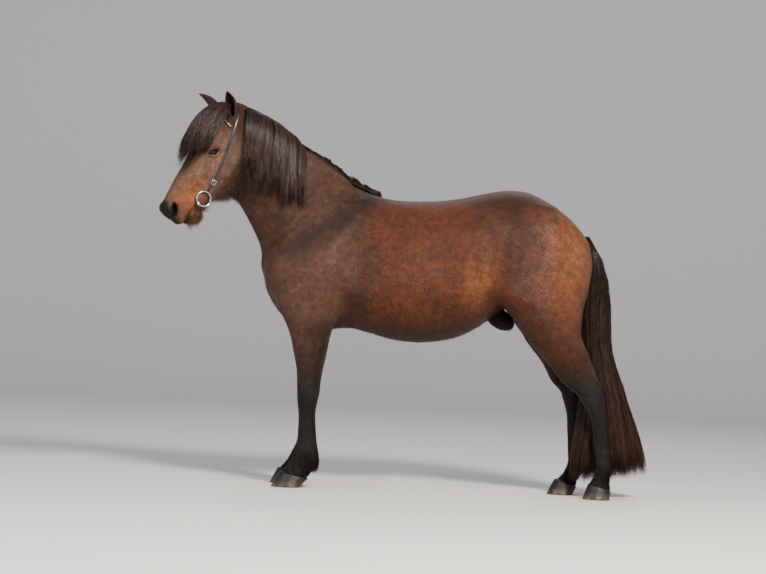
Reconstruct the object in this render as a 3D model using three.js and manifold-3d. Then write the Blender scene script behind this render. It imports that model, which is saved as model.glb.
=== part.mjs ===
// A standing Icelandic horse with a headstall and a ring bit, as a life-size still model.
// Millimetres, +Z up. The horse faces -X, its left side is -Y, and its hooves stand on Z = 0.
import * as THREE from 'three';
import { mergeVertices } from 'three/addons/utils/BufferGeometryUtils.js';
import Module from 'manifold-3d';

const wasm = await Module();
wasm.setup();

// Driving sizes
const GAP = 0.35;                       // clear gap between nodes that touch
const SIDES = { left: -1, right: 1 };   // sign of Y on each side of the horse
const HEAD_YAW = 26;                    // degrees, the head is turned to the horse's left
const FACE_SLOPE = 29.6;                // degrees between the face and the vertical
const POLL = [-840, -25, 1712];         // highest point of the skull, between the ears
const HEAD_CUT = [-778, -28, 1500];     // a point of the face where head and neck meet
const NECK_CUT = [-455, 0, 1215];       // a point of the face where neck and torso meet
const NECK_CUT_NORMAL = [-0.62, 0, 0.785];
const LEG_CUT = 700;                    // height where the legs meet the torso
const EYE = { at: [232, -9, 76], radius: 21 };      // head frame: down the face, outward, left
const EAR_WALL = 4;
const BIT_RING = { at: [433, -87, 66], radius: 34, wire: 4 };
const MOUTH_CORNER = [468, -72];
const FINEST = 0.1;                    // smallest step that a solid's surface keeps
const STRAP = { width: 10, thickness: 4 };
const TORSO_CELL = 49;
const HEAD_CELL = 20;

// Body sections. Each row: place along the axis, low edge, high edge, middle sideways,
// half width, share of the height where it is widest, and roundness of the section.
const TORSO_SECTIONS = [
  [-650, 900, 1100, 0, 120, 0.5, 2.0],
  [-590, 815, 1150, 0, 150, 0.45, 2.1],
  [-530, 765, 1185, 0, 170, 0.42, 2.1],
  [-450, 730, 1225, 0, 180, 0.42, 2.1],
  [-350, 722, 1270, 0, 194, 0.4, 2.1],
  [-250, 730, 1330, 0, 210, 0.4, 2.0],
  [-160, 712, 1338, 0, 230, 0.4, 2.0],
  [-50, 686, 1327, 0, 256, 0.42, 2.1],
  [60, 678, 1328, 0, 274, 0.44, 2.2],
  [160, 689, 1336, 0, 280, 0.46, 2.2],
  [250, 713, 1352, 0, 275, 0.48, 2.3],
  [340, 762, 1374, 0, 264, 0.5, 2.3],
  [440, 840, 1393, 0, 250, 0.55, 2.3],
  [540, 890, 1387, 0, 235, 0.58, 2.3],
  [640, 930, 1342, 0, 212, 0.6, 2.2],
  [730, 965, 1282, 0, 178, 0.6, 2.1],
  [830, 1000, 1195, 0, 120, 0.6, 2.0],
];
const NECK_SECTIONS = [
  [-40, -340, 268, 0, 172, 0.42, 2.0],
  [60, -300, 264, 0, 156, 0.42, 2.0],
  [120, -264, 264, 0, 142, 0.42, 2.0],
  [180, -231, 255, 0, 124, 0.42, 1.9],
  [260, -204, 238, -2, 108, 0.42, 1.9],
  [340, -184, 215, -8, 98, 0.42, 1.9],
  [420, -170, 205, -16, 92, 0.44, 1.9],
  [500, -150, 192, -22, 84, 0.46, 2.0],
  [580, -110, 168, -28, 76, 0.5, 2.0],
  [660, -60, 118, -32, 64, 0.5, 2.0],
];
const HEAD_SECTIONS = [
  [-45, -120, -8, 0, 56, 0.55, 2.0],
  [0, -140, 4, 0, 66, 0.6, 2.0],
  [60, -152, 34, 0, 80, 0.62, 2.2],
  [130, -158, 54, 0, 88, 0.64, 2.4],
  [200, -178, 62, 0, 91, 0.68, 2.6],
  [250, -202, 61, 0, 87, 0.7, 2.6],
  [300, -219, 58, 0, 80, 0.7, 2.5],
  [340, -206, 58, 0, 73, 0.66, 2.4],
  [380, -172, 59, 0, 66, 0.62, 2.3],
  [420, -145, 59, 0, 59, 0.58, 2.3],
  [470, -118, 57, 0, 53, 0.56, 2.3],
  [520, -84, 53, 0, 51, 0.5, 2.3],
  [560, -70, 46, 0, 48, 0.5, 2.2],
];
// Rows of the legs: height, front edge, back edge, middle sideways, half width, and as above.
const FORELEG_SECTIONS = [
  [40, -556, -420, 125, 44, 0.5, 2.0],
  [60, -542, -408, 125, 41, 0.5, 2.0],
  [82, -526, -393, 125, 35, 0.45, 2.0],
  [105, -507, -376, 125, 33, 0.45, 2.0],
  [130, -493, -369, 125, 34, 0.45, 2.0],
  [155, -483, -368, 125, 37, 0.45, 2.0],
  [185, -470, -372, 125, 33, 0.45, 2.0],
  [214, -465, -377, 125, 28, 0.45, 2.0],
  [260, -465, -382, 125, 27, 0.45, 2.0],
  [306, -466, -386, 126, 28, 0.45, 2.0],
  [351, -470, -387, 127, 34, 0.45, 2.2],
  [396, -476, -380, 128, 42, 0.45, 2.4],
  [430, -478, -373, 129, 44, 0.45, 2.4],
  [470, -480, -370, 130, 41, 0.45, 2.2],
  [532, -484, -363, 133, 45, 0.45, 2.0],
  [577, -493, -355, 136, 50, 0.45, 2.0],
  [623, -504, -348, 140, 56, 0.45, 2.0],
  [677, -516, -341, 143, 63, 0.5, 2.0],
  [722, -532, -330, 146, 70, 0.5, 2.0],
  [760, -550, -315, 145, 74, 0.5, 2.0],
  [820, -580, -300, 140, 76, 0.5, 2.1],
  [900, -612, -298, 134, 76, 0.5, 2.2],
  [980, -628, -305, 128, 74, 0.5, 2.2],
  [1060, -612, -300, 118, 68, 0.5, 2.2],
  [1140, -560, -275, 104, 62, 0.5, 2.1],
  [1220, -480, -240, 86, 54, 0.5, 2.0],
  [1300, -390, -205, 64, 42, 0.5, 2.0],
];
const HINDLEG_SECTIONS = [
  [40, 850, 968, 118, 42, 0.5, 2.0],
  [60, 862, 964, 118, 40, 0.5, 2.0],
  [85, 877, 959, 118, 34, 0.5, 2.0],
  [115, 890, 957, 118, 32, 0.5, 2.0],
  [150, 896, 963, 118, 35, 0.5, 2.0],
  [185, 892, 958, 118, 31, 0.5, 2.0],
  [226, 884, 951, 118, 27, 0.5, 2.0],
  [300, 873, 942, 119, 26, 0.5, 2.0],
  [370, 860, 932, 120, 30, 0.5, 2.0],
  [415, 836, 926, 120, 36, 0.45, 2.2],
  [450, 811, 920, 120, 38, 0.45, 2.2],
  [478, 790, 914, 121, 37, 0.45, 2.2],
  [523, 731, 904, 124, 36, 0.4, 2.0],
  [568, 690, 880, 128, 41, 0.4, 2.0],
  [610, 655, 862, 133, 50, 0.4, 2.0],
  [669, 600, 838, 140, 64, 0.42, 2.0],
  [709, 566, 818, 144, 76, 0.45, 2.0],
  [745, 541, 806, 146, 86, 0.48, 2.0],
  [791, 505, 804, 146, 96, 0.5, 2.0],
  [860, 455, 810, 142, 106, 0.5, 2.1],
  [915, 405, 822, 138, 110, 0.5, 2.2],
  [975, 375, 832, 134, 112, 0.5, 2.2],
  [1043, 352, 836, 128, 112, 0.5, 2.2],
  [1111, 345, 830, 120, 108, 0.5, 2.2],
  [1180, 360, 812, 108, 102, 0.5, 2.2],
  [1250, 400, 745, 94, 92, 0.5, 2.1],
  [1310, 440, 660, 80, 76, 0.5, 2.0],
];
// How far each far-side leg stands ahead of the near one: height and distance towards the head.
const FAR_FORELEG_LEAD = [[0, 16], [150, 12], [400, 6], [700, 0]];
const FAR_HINDLEG_LEAD = [[0, 150], [50, 140], [110, 120], [226, 106], [380, 90], [500, 48], [600, 15], [720, 0]];

// Rounded forms laid on the sections: centre, radii, degrees about Y, and the blend into the body.
// Those with y are built on both sides.
const TORSO_FORMS = [
  { at: [-545, 66, 950], radii: [98, 88, 135], turn: 0, blend: 55 },      // breast muscles
  { at: [735, 62, 1060], radii: [100, 90, 130], turn: 0, blend: 60 },     // buttocks
  { at: [438, 0, 800], radii: [72, 36, 46], turn: -28, blend: 16 },       // sheath
];
const HEAD_FORMS = [
  { at: [544, -10, 0], radii: [56, 61, 51], turn: 0, blend: 14 },         // nose
  { at: [548, 10, 34], radii: [34, 38, 24], turn: 0, blend: 14 },         // nostril rims
  { at: [562, -46, 0], radii: [36, 36, 40], turn: 0, blend: 8 },          // upper lip
  { at: [532, -104, 0], radii: [30, 19, 34], turn: 0, blend: 5 },         // lower lip
  { at: [505, -106, 0], radii: [34, 23, 30], turn: 0, blend: 12 },        // chin
  { at: [262, -95, 36], radii: [92, 92, 52], turn: 0, blend: 24 },        // cheeks
  { at: [222, 18, 68], radii: [40, 22, 26], turn: 0, blend: 16 },         // brows
  { at: [330, -22, 50], radii: [90, 16, 18], turn: 4, blend: 16 },        // cheek bones
];
// Low swellings and hollows of the coat: centre on the left or right, radii, and height.
const BODY_RELIEF = [
  { at: [-640, 150, 1015], radii: [60, 60, 70], height: 10 },     // point of the shoulder
  { at: [-400, 205, 930], radii: [95, 70, 110], height: 10 },     // upper arm
  { at: [-250, 215, 1090], radii: [35, 90, 190], height: -9 },    // behind the shoulder
  { at: [-655, 0, 960], radii: [70, 22, 130], height: -14 },      // between the breast muscles
  { at: [-560, 95, 850], radii: [70, 60, 60], height: -12 },      // breast to foreleg
  { at: [-700, 95, 1200], radii: [150, 60, 32], height: -6 },     // throat groove
  { at: [330, 262, 1060], radii: [70, 80, 120], height: -12 },    // flank hollow
  { at: [390, 225, 1240], radii: [50, 50, 45], height: 10 },      // point of the hip
  { at: [470, 215, 900], radii: [75, 60, 75], height: 9 },        // stifle
  { at: [690, 205, 1130], radii: [60, 80, 120], height: 8 },      // thigh
  { at: [840, 0, 1000], radii: [60, 20, 190], height: -22 },      // between the buttocks
];

// Vectors as plain arrays
const plus = (a, b) => a.map((value, i) => value + b[i]);
const minus = (a, b) => a.map((value, i) => value - b[i]);
const times = (a, k) => a.map((value) => value * k);
const dot = (a, b) => a[0] * b[0] + a[1] * b[1] + a[2] * b[2];
const cross = (a, b) => [a[1] * b[2] - a[2] * b[1], a[2] * b[0] - a[0] * b[2], a[0] * b[1] - a[1] * b[0]];
const unit = (a) => times(a, 1 / Math.hypot(...a));
const mix = (a, b, share) => a.map((value, i) => value + (b[i] - value) * share);
const radians = (degrees) => degrees * Math.PI / 180;
const clamp = (value, low, high) => Math.min(Math.max(value, low), high);

// Smooth values between table rows whose first number runs upwards
function smoothTable(rows) {
  const last = rows.length - 1;
  const slopes = rows.map((row, i) => {
    const before = rows[Math.max(i - 1, 0)];
    const after = rows[Math.min(i + 1, last)];
    return row.map((value, c) => (after[c] - before[c]) / (after[0] - before[0]));
  });
  return (along) => {
    const t = clamp(along, rows[0][0], rows[last][0]);
    let i = 0;
    while (i < last - 1 && t > rows[i + 1][0]) i += 1;
    const span = rows[i + 1][0] - rows[i][0];
    const s = (t - rows[i][0]) / span;
    const start = 1 + s * s * (2 * s - 3);
    const startSlope = s * (1 - s) * (1 - s) * span;
    const endSlope = s * s * (s - 1) * span;
    return rows[i].slice(1).map((value, c) => start * value + (1 - start) * rows[i + 1][c + 1]
      + startSlope * slopes[i][c + 1] + endSlope * slopes[i + 1][c + 1]);
  };
}

// Distance to a body made of sections across a straight axis
function sections({ origin, along, across, side, rows, dome = [0, 0], lead = null }) {
  const sectionAt = smoothTable(rows);
  const leadAt = lead ? smoothTable(lead) : () => [0];
  const first = rows[0][0];
  const last = rows[rows.length - 1][0];
  return (point) => {
    const from = minus(point, origin);
    const t = dot(from, along);
    const a = dot(from, across) + leadAt(t)[0];
    const b = dot(from, side);
    const [low, high, middle, half, widest, power] = sectionAt(t);
    const startShare = dome[0] ? clamp((first + dome[0] - t) / dome[0], 0, 1) : 0;
    const endShare = dome[1] ? clamp((t - last + dome[1]) / dome[1], 0, 1) : 0;
    const scale = Math.max(Math.sqrt(1 - Math.max(startShare, endShare) ** 2), 0.05);
    const centre = low + widest * (high - low);
    const reach = (a > centre ? high - centre : centre - low) * scale;
    const da = Math.abs(a - centre) / reach;
    const db = Math.abs(b - middle) / (half * scale);
    const radius = Math.max((da ** power + db ** power) ** (1 / power), 1e-6);
    const steep = Math.hypot(da ** (power - 1) / reach, db ** (power - 1) / (half * scale)) * radius ** (1 - power);
    const outside = (radius - 1) / Math.max(steep, 1e-4);
    const past = Math.max(first - t, t - last);
    return Math.min(Math.max(outside, past), 0) + Math.hypot(Math.max(outside, 0), Math.max(past, 0));
  };
}

// Distance to an ellipsoid turned by some degrees in the plane of its first two directions
function ellipsoid({ at, radii, turn }, first, second) {
  const c = Math.cos(radians(turn));
  const s = Math.sin(radians(turn));
  return (point) => {
    const from = minus(point, at);
    const turned = [...from];
    turned[first] = c * from[first] + s * from[second];
    turned[second] = c * from[second] - s * from[first];
    const size = Math.hypot(...turned.map((value, i) => value / radii[i]));
    const steep = Math.hypot(...turned.map((value, i) => value / radii[i] ** 2));
    return size * (size - 1) / Math.max(steep, 1e-4);
  };
}

// Smaller of two distances, rounded where they are close
function blended(a, b, blend) {
  const h = Math.max(blend - Math.abs(a - b), 0);
  return Math.min(a, b) - h * h / (4 * blend);
}

// The head's own frame: down the face, out of the forehead, and to the horse's left
const forward = [-Math.cos(radians(HEAD_YAW)), -Math.sin(radians(HEAD_YAW)), 0];
const upright = [0, 0, 1];
const slopeSin = Math.sin(radians(FACE_SLOPE));
const slopeCos = Math.cos(radians(FACE_SLOPE));
const faceDown = minus(times(forward, slopeSin), times(upright, slopeCos));
const faceOut = plus(times(forward, slopeCos), times(upright, slopeSin));
const faceLeft = cross(upright, forward);
const inHead = (point) => {
  const from = minus(point, POLL);
  return [dot(from, faceDown), dot(from, faceOut), dot(from, faceLeft)];
};
const outOfHead = ([down, out, left]) =>
  plus(POLL, plus(times(faceDown, down), plus(times(faceOut, out), times(faceLeft, left))));

const alongNeck = unit([-1, 0, 1]);
const crestward = unit([1, 0, 1]);
const torsoShape = sections({ origin: [0, 0, 0], along: [1, 0, 0], across: [0, 0, 1], side: [0, 1, 0],
  rows: TORSO_SECTIONS, dome: [95, 95] });
const neckShape = sections({ origin: [-400, 0, 1150], along: alongNeck, across: crestward, side: [0, 1, 0],
  rows: NECK_SECTIONS });
const legShapes = [];
for (const sign of Object.values(SIDES)) {
  const far = sign === SIDES.right;
  const shared = { origin: [0, 0, 0], along: [0, 0, 1], across: [1, 0, 0], side: [0, sign, 0] };
  legShapes.push({ blend: 40, distance: sections({ ...shared, rows: FORELEG_SECTIONS, lead: far ? FAR_FORELEG_LEAD : null }) });
  legShapes.push({ blend: 46, distance: sections({ ...shared, rows: HINDLEG_SECTIONS, lead: far ? FAR_HINDLEG_LEAD : null }) });
}
const torsoForms = TORSO_FORMS.map((form) => ({ ...form, distance: ellipsoid(form, 0, 2) }));
const skullShape = sections({ origin: [0, 0, 0], along: [1, 0, 0], across: [0, 1, 0], side: [0, 0, 1],
  rows: HEAD_SECTIONS });
const headForms = HEAD_FORMS.map((form) => ({ ...form, distance: ellipsoid(form, 0, 1) }));

function headDistance(point) {
  const local = inHead(point);
  const mirrored = [local[0], local[1], Math.abs(local[2])];
  let distance = skullShape(local);
  for (const form of headForms) distance = blended(distance, form.distance(mirrored), form.blend);
  return distance;
}

function bodyDistance(point) {
  const mirrored = [point[0], Math.abs(point[1]), point[2]];
  let distance = blended(torsoShape(point), neckShape(point), 90);
  for (const leg of legShapes) distance = blended(distance, leg.distance(point), leg.blend);
  for (const form of torsoForms) distance = blended(distance, form.distance(mirrored), form.blend);
  for (const swell of BODY_RELIEF) {
    const off = minus(mirrored, swell.at).map((value, i) => value / swell.radii[i]);
    distance -= swell.height * Math.exp(-dot(off, off));
  }
  return blended(distance, headDistance(point), 30);
}

function outward(distance, point) {
  const step = 1;
  return unit([0, 1, 2].map((axis) => {
    const ahead = [...point];
    const behind = [...point];
    ahead[axis] += step;
    behind[axis] -= step;
    return distance(ahead) - distance(behind);
  }));
}

// Closed triangle skin round a shape, one point in each grid cell that its surface crosses
function gridSkin(distance, low, high, cell) {
  const counts = low.map((value, i) => Math.ceil((high[i] - value) / cell) + 1);
  const [nx, ny, nz] = counts;
  const index = (i, j, k) => (i * ny + j) * nz + k;
  const corner = (i, j, k) => [low[0] + i * cell, low[1] + j * cell, low[2] + k * cell];
  const values = new Float64Array(nx * ny * nz);
  for (let i = 0; i < nx; i += 1) {
    for (let j = 0; j < ny; j += 1) {
      for (let k = 0; k < nz; k += 1) values[index(i, j, k)] = distance(corner(i, j, k));
    }
  }
  const steps = [[1, 0, 0], [0, 1, 0], [0, 0, 1]];
  const points = [];
  const pointOf = new Int32Array(nx * ny * nz).fill(-1);
  for (let i = 0; i < nx - 1; i += 1) {
    for (let j = 0; j < ny - 1; j += 1) {
      for (let k = 0; k < nz - 1; k += 1) {
        const crossings = [];
        for (let axis = 0; axis < 3; axis += 1) {
          const others = [0, 1, 2].filter((other) => other !== axis);
          for (const [p, q] of [[0, 0], [1, 0], [0, 1], [1, 1]]) {
            const a = [i, j, k];
            a[others[0]] += p;
            a[others[1]] += q;
            const b = plus(a, steps[axis]);
            const va = values[index(...a)];
            const vb = values[index(...b)];
            if ((va < 0) !== (vb < 0)) crossings.push(mix(corner(...a), corner(...b), va / (va - vb)));
          }
        }
        if (!crossings.length) continue;
        let point = times(crossings.reduce(plus), 1 / crossings.length);
        for (let pull = 0; pull < 2; pull += 1) {
          const move = clamp(distance(point), -cell / 4, cell / 4);
          point = minus(point, times(outward(distance, point), move));
        }
        pointOf[index(i, j, k)] = points.length;
        points.push(point);
      }
    }
  }
  const triangles = [];
  for (let i = 1; i < nx - 1; i += 1) {
    for (let j = 1; j < ny - 1; j += 1) {
      for (let k = 1; k < nz - 1; k += 1) {
        for (let axis = 0; axis < 3; axis += 1) {
          const start = [i, j, k];
          const inside = values[index(...start)] < 0;
          if (inside === (values[index(...plus(start, steps[axis]))] < 0)) continue;
          const back = times(steps[(axis + 1) % 3], -1);
          const side = times(steps[(axis + 2) % 3], -1);
          const quad = [start, plus(start, back), plus(plus(start, back), side), plus(start, side)];
          const [a, b, c, d] = quad.map((cellAt) => pointOf[index(...cellAt)]);
          const ring = inside ? [a, b, c, d] : [d, c, b, a];
          const first = Math.hypot(...minus(points[ring[0]], points[ring[2]]));
          const second = Math.hypot(...minus(points[ring[1]], points[ring[3]]));
          if (first < second) triangles.push([ring[0], ring[1], ring[2]], [ring[0], ring[2], ring[3]]);
          else triangles.push([ring[0], ring[1], ring[3]], [ring[1], ring[2], ring[3]]);
        }
      }
    }
  }
  return { points, triangles };
}

// Closed skin through rings of equal count; a hollow section is closed by a strip, not by a fan
function ringSkin(rings, hollow = false) {
  const count = rings[0].length;
  const points = rings.flat();
  const triangles = [];
  for (let r = 0; r < rings.length - 1; r += 1) {
    for (let s = 0; s < count; s += 1) {
      const a = r * count + s;
      const b = r * count + (s + 1) % count;
      triangles.push([a, b, b + count], [a, b + count, a + count]);
    }
  }
  const lastRing = (rings.length - 1) * count;
  const cap = [];
  for (let s = 1; s < count - 1 && !hollow; s += 1) cap.push([0, s, s + 1]);
  for (let s = 0; s < count / 2 - 1 && hollow; s += 1) {
    cap.push([s, s + 1, count - 1 - s], [s + 1, count - 2 - s, count - 1 - s]);
  }
  for (const [a, b, c] of cap) triangles.push([a, c, b], [lastRing + a, lastRing + b, lastRing + c]);
  return { points, triangles };
}

// A ring where a shape crosses a plane: rays run out from a centre inside it
function ringOn(distance, centre, first, second, count) {
  return Array.from({ length: count }, (_, s) => {
    const angle = 2 * Math.PI * s / count;
    const ray = plus(times(first, Math.cos(angle)), times(second, Math.sin(angle)));
    let near = 0;
    let far = 8;
    while (distance(plus(centre, times(ray, far))) < 0) {
      near = far;
      far += 8;
    }
    for (let halving = 0; halving < 12; halving += 1) {
      const middle = (near + far) / 2;
      if (distance(plus(centre, times(ray, middle))) < 0) near = middle;
      else far = middle;
    }
    return plus(centre, times(ray, near));
  });
}

function solidOf({ points, triangles }) {
  const mesh = new wasm.Mesh({ numProp: 3, vertProperties: new Float32Array(points.flat()),
    triVerts: new Uint32Array(triangles.flat()) });
  mesh.merge();
  const solid = new wasm.Manifold(mesh);
  return solid.volume() < 0 ? solidOf({ points, triangles: triangles.map(([a, b, c]) => [a, c, b]) }) : solid;
}

function solidOfGeometry(geometry, matrix = new THREE.Matrix4()) {
  const bare = geometry.clone().applyMatrix4(matrix);
  bare.deleteAttribute('normal');
  bare.deleteAttribute('uv');
  const merged = mergeVertices(bare, 1e-3);
  const flat = Array.from(merged.attributes.position.array);
  const index = Array.from(merged.index.array);
  return solidOf({
    points: Array.from({ length: flat.length / 3 }, (_, i) => flat.slice(3 * i, 3 * i + 3)),
    triangles: Array.from({ length: index.length / 3 }, (_, i) => index.slice(3 * i, 3 * i + 3)),
  });
}

// The half of space on the side of a plane that its normal points to, as one large block
function halfSpace(point, normal) {
  const reach = 4000;
  const block = new THREE.BoxGeometry(reach, reach, reach).translate(0, 0, reach / 2);
  const turn = new THREE.Quaternion().setFromUnitVectors(new THREE.Vector3(0, 0, 1), new THREE.Vector3(...unit(normal)));
  const place = new THREE.Matrix4().compose(new THREE.Vector3(...point), turn, new THREE.Vector3(1, 1, 1));
  return solidOfGeometry(block, place);
}

// The largest closed surface of a solid: loose scraps go, and sealed hollows are filled
function largest(solid) {
  const { vertProperties, triVerts } = solid.simplify(FINEST).getMesh();
  const geometry = new THREE.BufferGeometry();
  geometry.setAttribute('position', new THREE.BufferAttribute(new Float32Array(vertProperties), 3));
  geometry.setIndex(new THREE.BufferAttribute(new Uint32Array(triVerts), 1));
  const pieces = solidOfGeometry(geometry).decompose();
  return pieces.reduce((best, piece) => (piece.volume() > best.volume() ? piece : best));
}

const union = (pieces) => pieces.reduce((whole, piece) => whole.add(piece));

// One flat tapered lock along a path: width lies across the path, thickness along the lift
function lock({ path, lift, width, thickness, shape, steps = 5 }) {
  const curve = new THREE.CatmullRomCurve3(path.map((point) => new THREE.Vector3(...point)));
  const rings = [];
  for (let i = 0; i <= steps; i += 1) {
    const share = i / steps;
    const centre = curve.getPointAt(share).toArray();
    const run = curve.getTangentAt(share).toArray();
    const across = unit(cross(run, lift));
    const out = unit(cross(across, run));
    const half = width / 2 * shape(share);
    const deep = thickness / 2 * shape(share);
    rings.push([[half, 0], [0, deep], [-half, 0], [0, -deep]].map(([w, d]) =>
      plus(centre, plus(times(across, w), times(out, d)))));
  }
  return solidOf(ringSkin(rings));
}

// A lock narrows a little at its root and comes to a thin tip
const lockShape = (share) => Math.max(0.72 + 0.28 * Math.sin(Math.PI * Math.min(share * 1.6, 1) / 2), 0)
  * Math.max(1 - share ** 2.2, 0.04);

// A tail lock is slim at the dock and fullest well down its length
const tailShape = (share) => (0.45 + 0.55 * Math.sin(Math.PI * clamp(share * 0.75, 0, 0.5))) * Math.max(1 - share ** 3.5, 0.04);

// Repeatable small differences between locks
let seed = 7;
function vary(size) {
  seed = (seed * 16807) % 2147483647;
  return (seed / 2147483647 - 0.5) * 2 * size;
}

// The same skin moved out by the gap, used to cut neighbours clear of it
function grown(skin, distance, gap) {
  return solidOf({ points: skin.points.map((point) => plus(point, times(outward(distance, point), gap))),
    triangles: skin.triangles });
}

// Torso: grid skin with flat faces where the neck and the legs join
const neckSide = (point) => dot(minus(point, NECK_CUT), unit(NECK_CUT_NORMAL));
const headSide = (point) => dot(minus(point, HEAD_CUT), forward);
const torsoDistance = (point) => Math.max(bodyDistance(point), neckSide(point) - 30, LEG_CUT - 40 - point[2]);
const torsoSkin = gridSkin(torsoDistance, [-760, -345, 600], [920, 345, 1480], TORSO_CELL);
const neckBlock = halfSpace(plus(NECK_CUT, times(unit(NECK_CUT_NORMAL), -GAP)), NECK_CUT_NORMAL);
const legBlocks = [[-900, -290], [470, 1200]].map(([low, high]) =>
  solidOfGeometry(new THREE.BoxGeometry(high - low, 900, LEG_CUT), new THREE.Matrix4().makeTranslation((low + high) / 2, 0, LEG_CUT / 2)));
const torso = largest(solidOf(torsoSkin).subtract(neckBlock).subtract(union(legBlocks)));
const torsoGrown = grown(torsoSkin, torsoDistance, GAP);

// Legs: rings that turn from level at the top to the slope of the coronet
const LEGS = [
  { name: 'front_left', sign: -1, rows: FORELEG_SECTIONS, lead: null, hoof: { toe: -578, heel: -446, top: [-541, -406], rise: [74, 40], half: [62, 50] } },
  { name: 'front_right', sign: 1, rows: FORELEG_SECTIONS, lead: FAR_FORELEG_LEAD, hoof: { toe: -594, heel: -462, top: [-556, -421], rise: [74, 40], half: [62, 50] } },
  { name: 'hind_left', sign: -1, rows: HINDLEG_SECTIONS, lead: null, hoof: { toe: 840, heel: 966, top: [866, 970], rise: [74, 42], half: [57, 48] } },
  { name: 'hind_right', sign: 1, rows: HINDLEG_SECTIONS, lead: FAR_HINDLEG_LEAD, hoof: { toe: 690, heel: 812, top: [727, 830], rise: [74, 42], half: [57, 48] } },
];
const LEG_RINGS = [0, 0.05, 0.1, 0.15, 0.2, 0.27, 0.36, 0.45, 0.52, 0.58, 0.64, 0.7, 0.76, 0.82, 0.88, 0.94, 1];
const LEG_SEGMENTS = 16;

function coronetPlane({ top, rise }) {
  const run = unit([top[1] - top[0], 0, rise[1] - rise[0]]);
  return { centre: [(top[0] + top[1]) / 2, 0, (rise[0] + rise[1]) / 2], run };
}

function legSkin({ sign, rows, lead, hoof }) {
  const rowAt = smoothTable(rows);
  const leadAt = lead ? smoothTable(lead) : () => [0];
  const { centre: low, run } = coronetPlane(hoof);
  const rings = LEG_RINGS.map((share) => {
    const height = low[2] + GAP + (LEG_CUT - GAP - low[2]) * share;
    const [front, back, middle] = rowAt(height);
    const tilt = Math.max(1 - share / 0.2, 0);
    const centre = [(front + back) / 2 - leadAt(height)[0], sign * middle, height];
    const along = unit(mix([1, 0, 0], run, tilt));
    return ringOn(bodyDistance, share === 0 ? [low[0], sign * middle, height] : centre, along, [0, 1, 0], LEG_SEGMENTS);
  });
  return ringSkin(rings);
}

// A hoof: flat sole, walls that slope to the coronet, heels squarer than the toe
const HOOF_LEVELS = [0, 0.06, 0.5, 0.9, 1];
const HOOF_SEGMENTS = 18;
function hoofSkin({ sign, rows, hoof }) {
  const middle = smoothTable(rows)(60)[2];
  const rings = HOOF_LEVELS.map((level) => {
    const toe = hoof.toe + (hoof.top[0] - hoof.toe) * level - (level ? 0 : -3);
    const heel = hoof.heel + (hoof.top[1] - hoof.heel) * level;
    const half = hoof.half[0] + (hoof.half[1] - hoof.half[0]) * level - (level ? 0 : 3) - (level === 1 ? 4 : 0);
    return Array.from({ length: HOOF_SEGMENTS }, (_, s) => {
      const angle = 2 * Math.PI * s / HOOF_SEGMENTS;
      const ahead = Math.cos(angle);
      const power = ahead > 0 ? 0.7 : 1;
      const x = (toe + heel) / 2 + (heel - toe) / 2 * Math.sign(ahead) * Math.abs(ahead) ** power;
      const top = hoof.rise[0] + (hoof.rise[1] - hoof.rise[0]) * clamp((x - hoof.top[0]) / (hoof.top[1] - hoof.top[0]), -0.2, 1.2);
      return [x, sign * middle + half * Math.sin(angle), top * level];
    });
  });
  return ringSkin(rings);
}

// Head: grid skin in the head's own frame, with sockets, nostrils and mouth cut in
const headDistanceInFrame = (local) => {
  const point = outOfHead(local);
  return Math.max(bodyDistance(point), -headSide(point) - 30);
};
const headSkinLocal = gridSkin(headDistanceInFrame, [-150, -330, -180], [640, 110, 180], HEAD_CELL);
const headSkin = { points: headSkinLocal.points.map(outOfHead), triangles: headSkinLocal.triangles };
const headShapeDistance = (point) => Math.max(bodyDistance(point), -headSide(point) - 30);
const headGrown = grown(headSkin, headShapeDistance, GAP);
const headBasis = new THREE.Matrix4().makeBasis(...[faceDown, faceOut, faceLeft].map((axis) => new THREE.Vector3(...axis)))
  .setPosition(...POLL);
const inHeadFrame = (geometry) => solidOfGeometry(geometry, headBasis);

const ball = (radius, across, round) => new THREE.SphereGeometry(radius, across, round);
const eyeAt = (side) => [EYE.at[0], EYE.at[1], -side * EYE.at[2]];
const eyeSolid = (side, gap) => inHeadFrame(ball(EYE.radius + gap, 12, 8).rotateX(Math.PI / 2).translate(...eyeAt(side)));

// Each lid is a crescent over the eyeball from its front corner to its back one
function lid(side, lift) {
  const left = -side;
  const reach = EYE.radius + 1.5;
  const path = [-75, -40, 0, 40, 75].map((degrees) => {
    const open = radians(lift) * Math.cos(radians(degrees) * 1.1);
    const turn = radians(degrees);
    return outOfHead(plus(eyeAt(side), [reach * Math.sin(turn), reach * Math.cos(turn) * Math.sin(open),
      left * reach * Math.cos(turn) * Math.cos(open)]));
  });
  return lock({ path, lift: times(faceLeft, left), width: 12, thickness: 7, steps: 6,
    shape: (share) => 0.35 + 0.65 * Math.sin(Math.PI * share) });
}

function nostril(side) {
  const shape = ball(1, 10, 8).scale(27, 12, 16).rotateZ(radians(8)).translate(548, 6, -side * 54);
  return inHeadFrame(shape);
}

// The line of the mouth: a thin plate that reaches round the lips, but not through the middle
function mouthLine() {
  const outline = [[0, 70], [130, 70], [130, -70], [0, -70], [0, -38], [70, -36], [90, -20], [90, 20], [70, 36], [0, 38]];
  const plate = new THREE.ExtrudeGeometry(new THREE.Shape(outline.map(([x, y]) => new THREE.Vector2(x, y))),
    { depth: 3, bevelEnabled: false });
  plate.rotateX(-Math.PI / 2).translate(0, 1.5, 0).rotateZ(radians(-7)).translate(MOUTH_CORNER[0], MOUTH_CORNER[1], 0);
  return inHeadFrame(plate);
}

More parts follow.
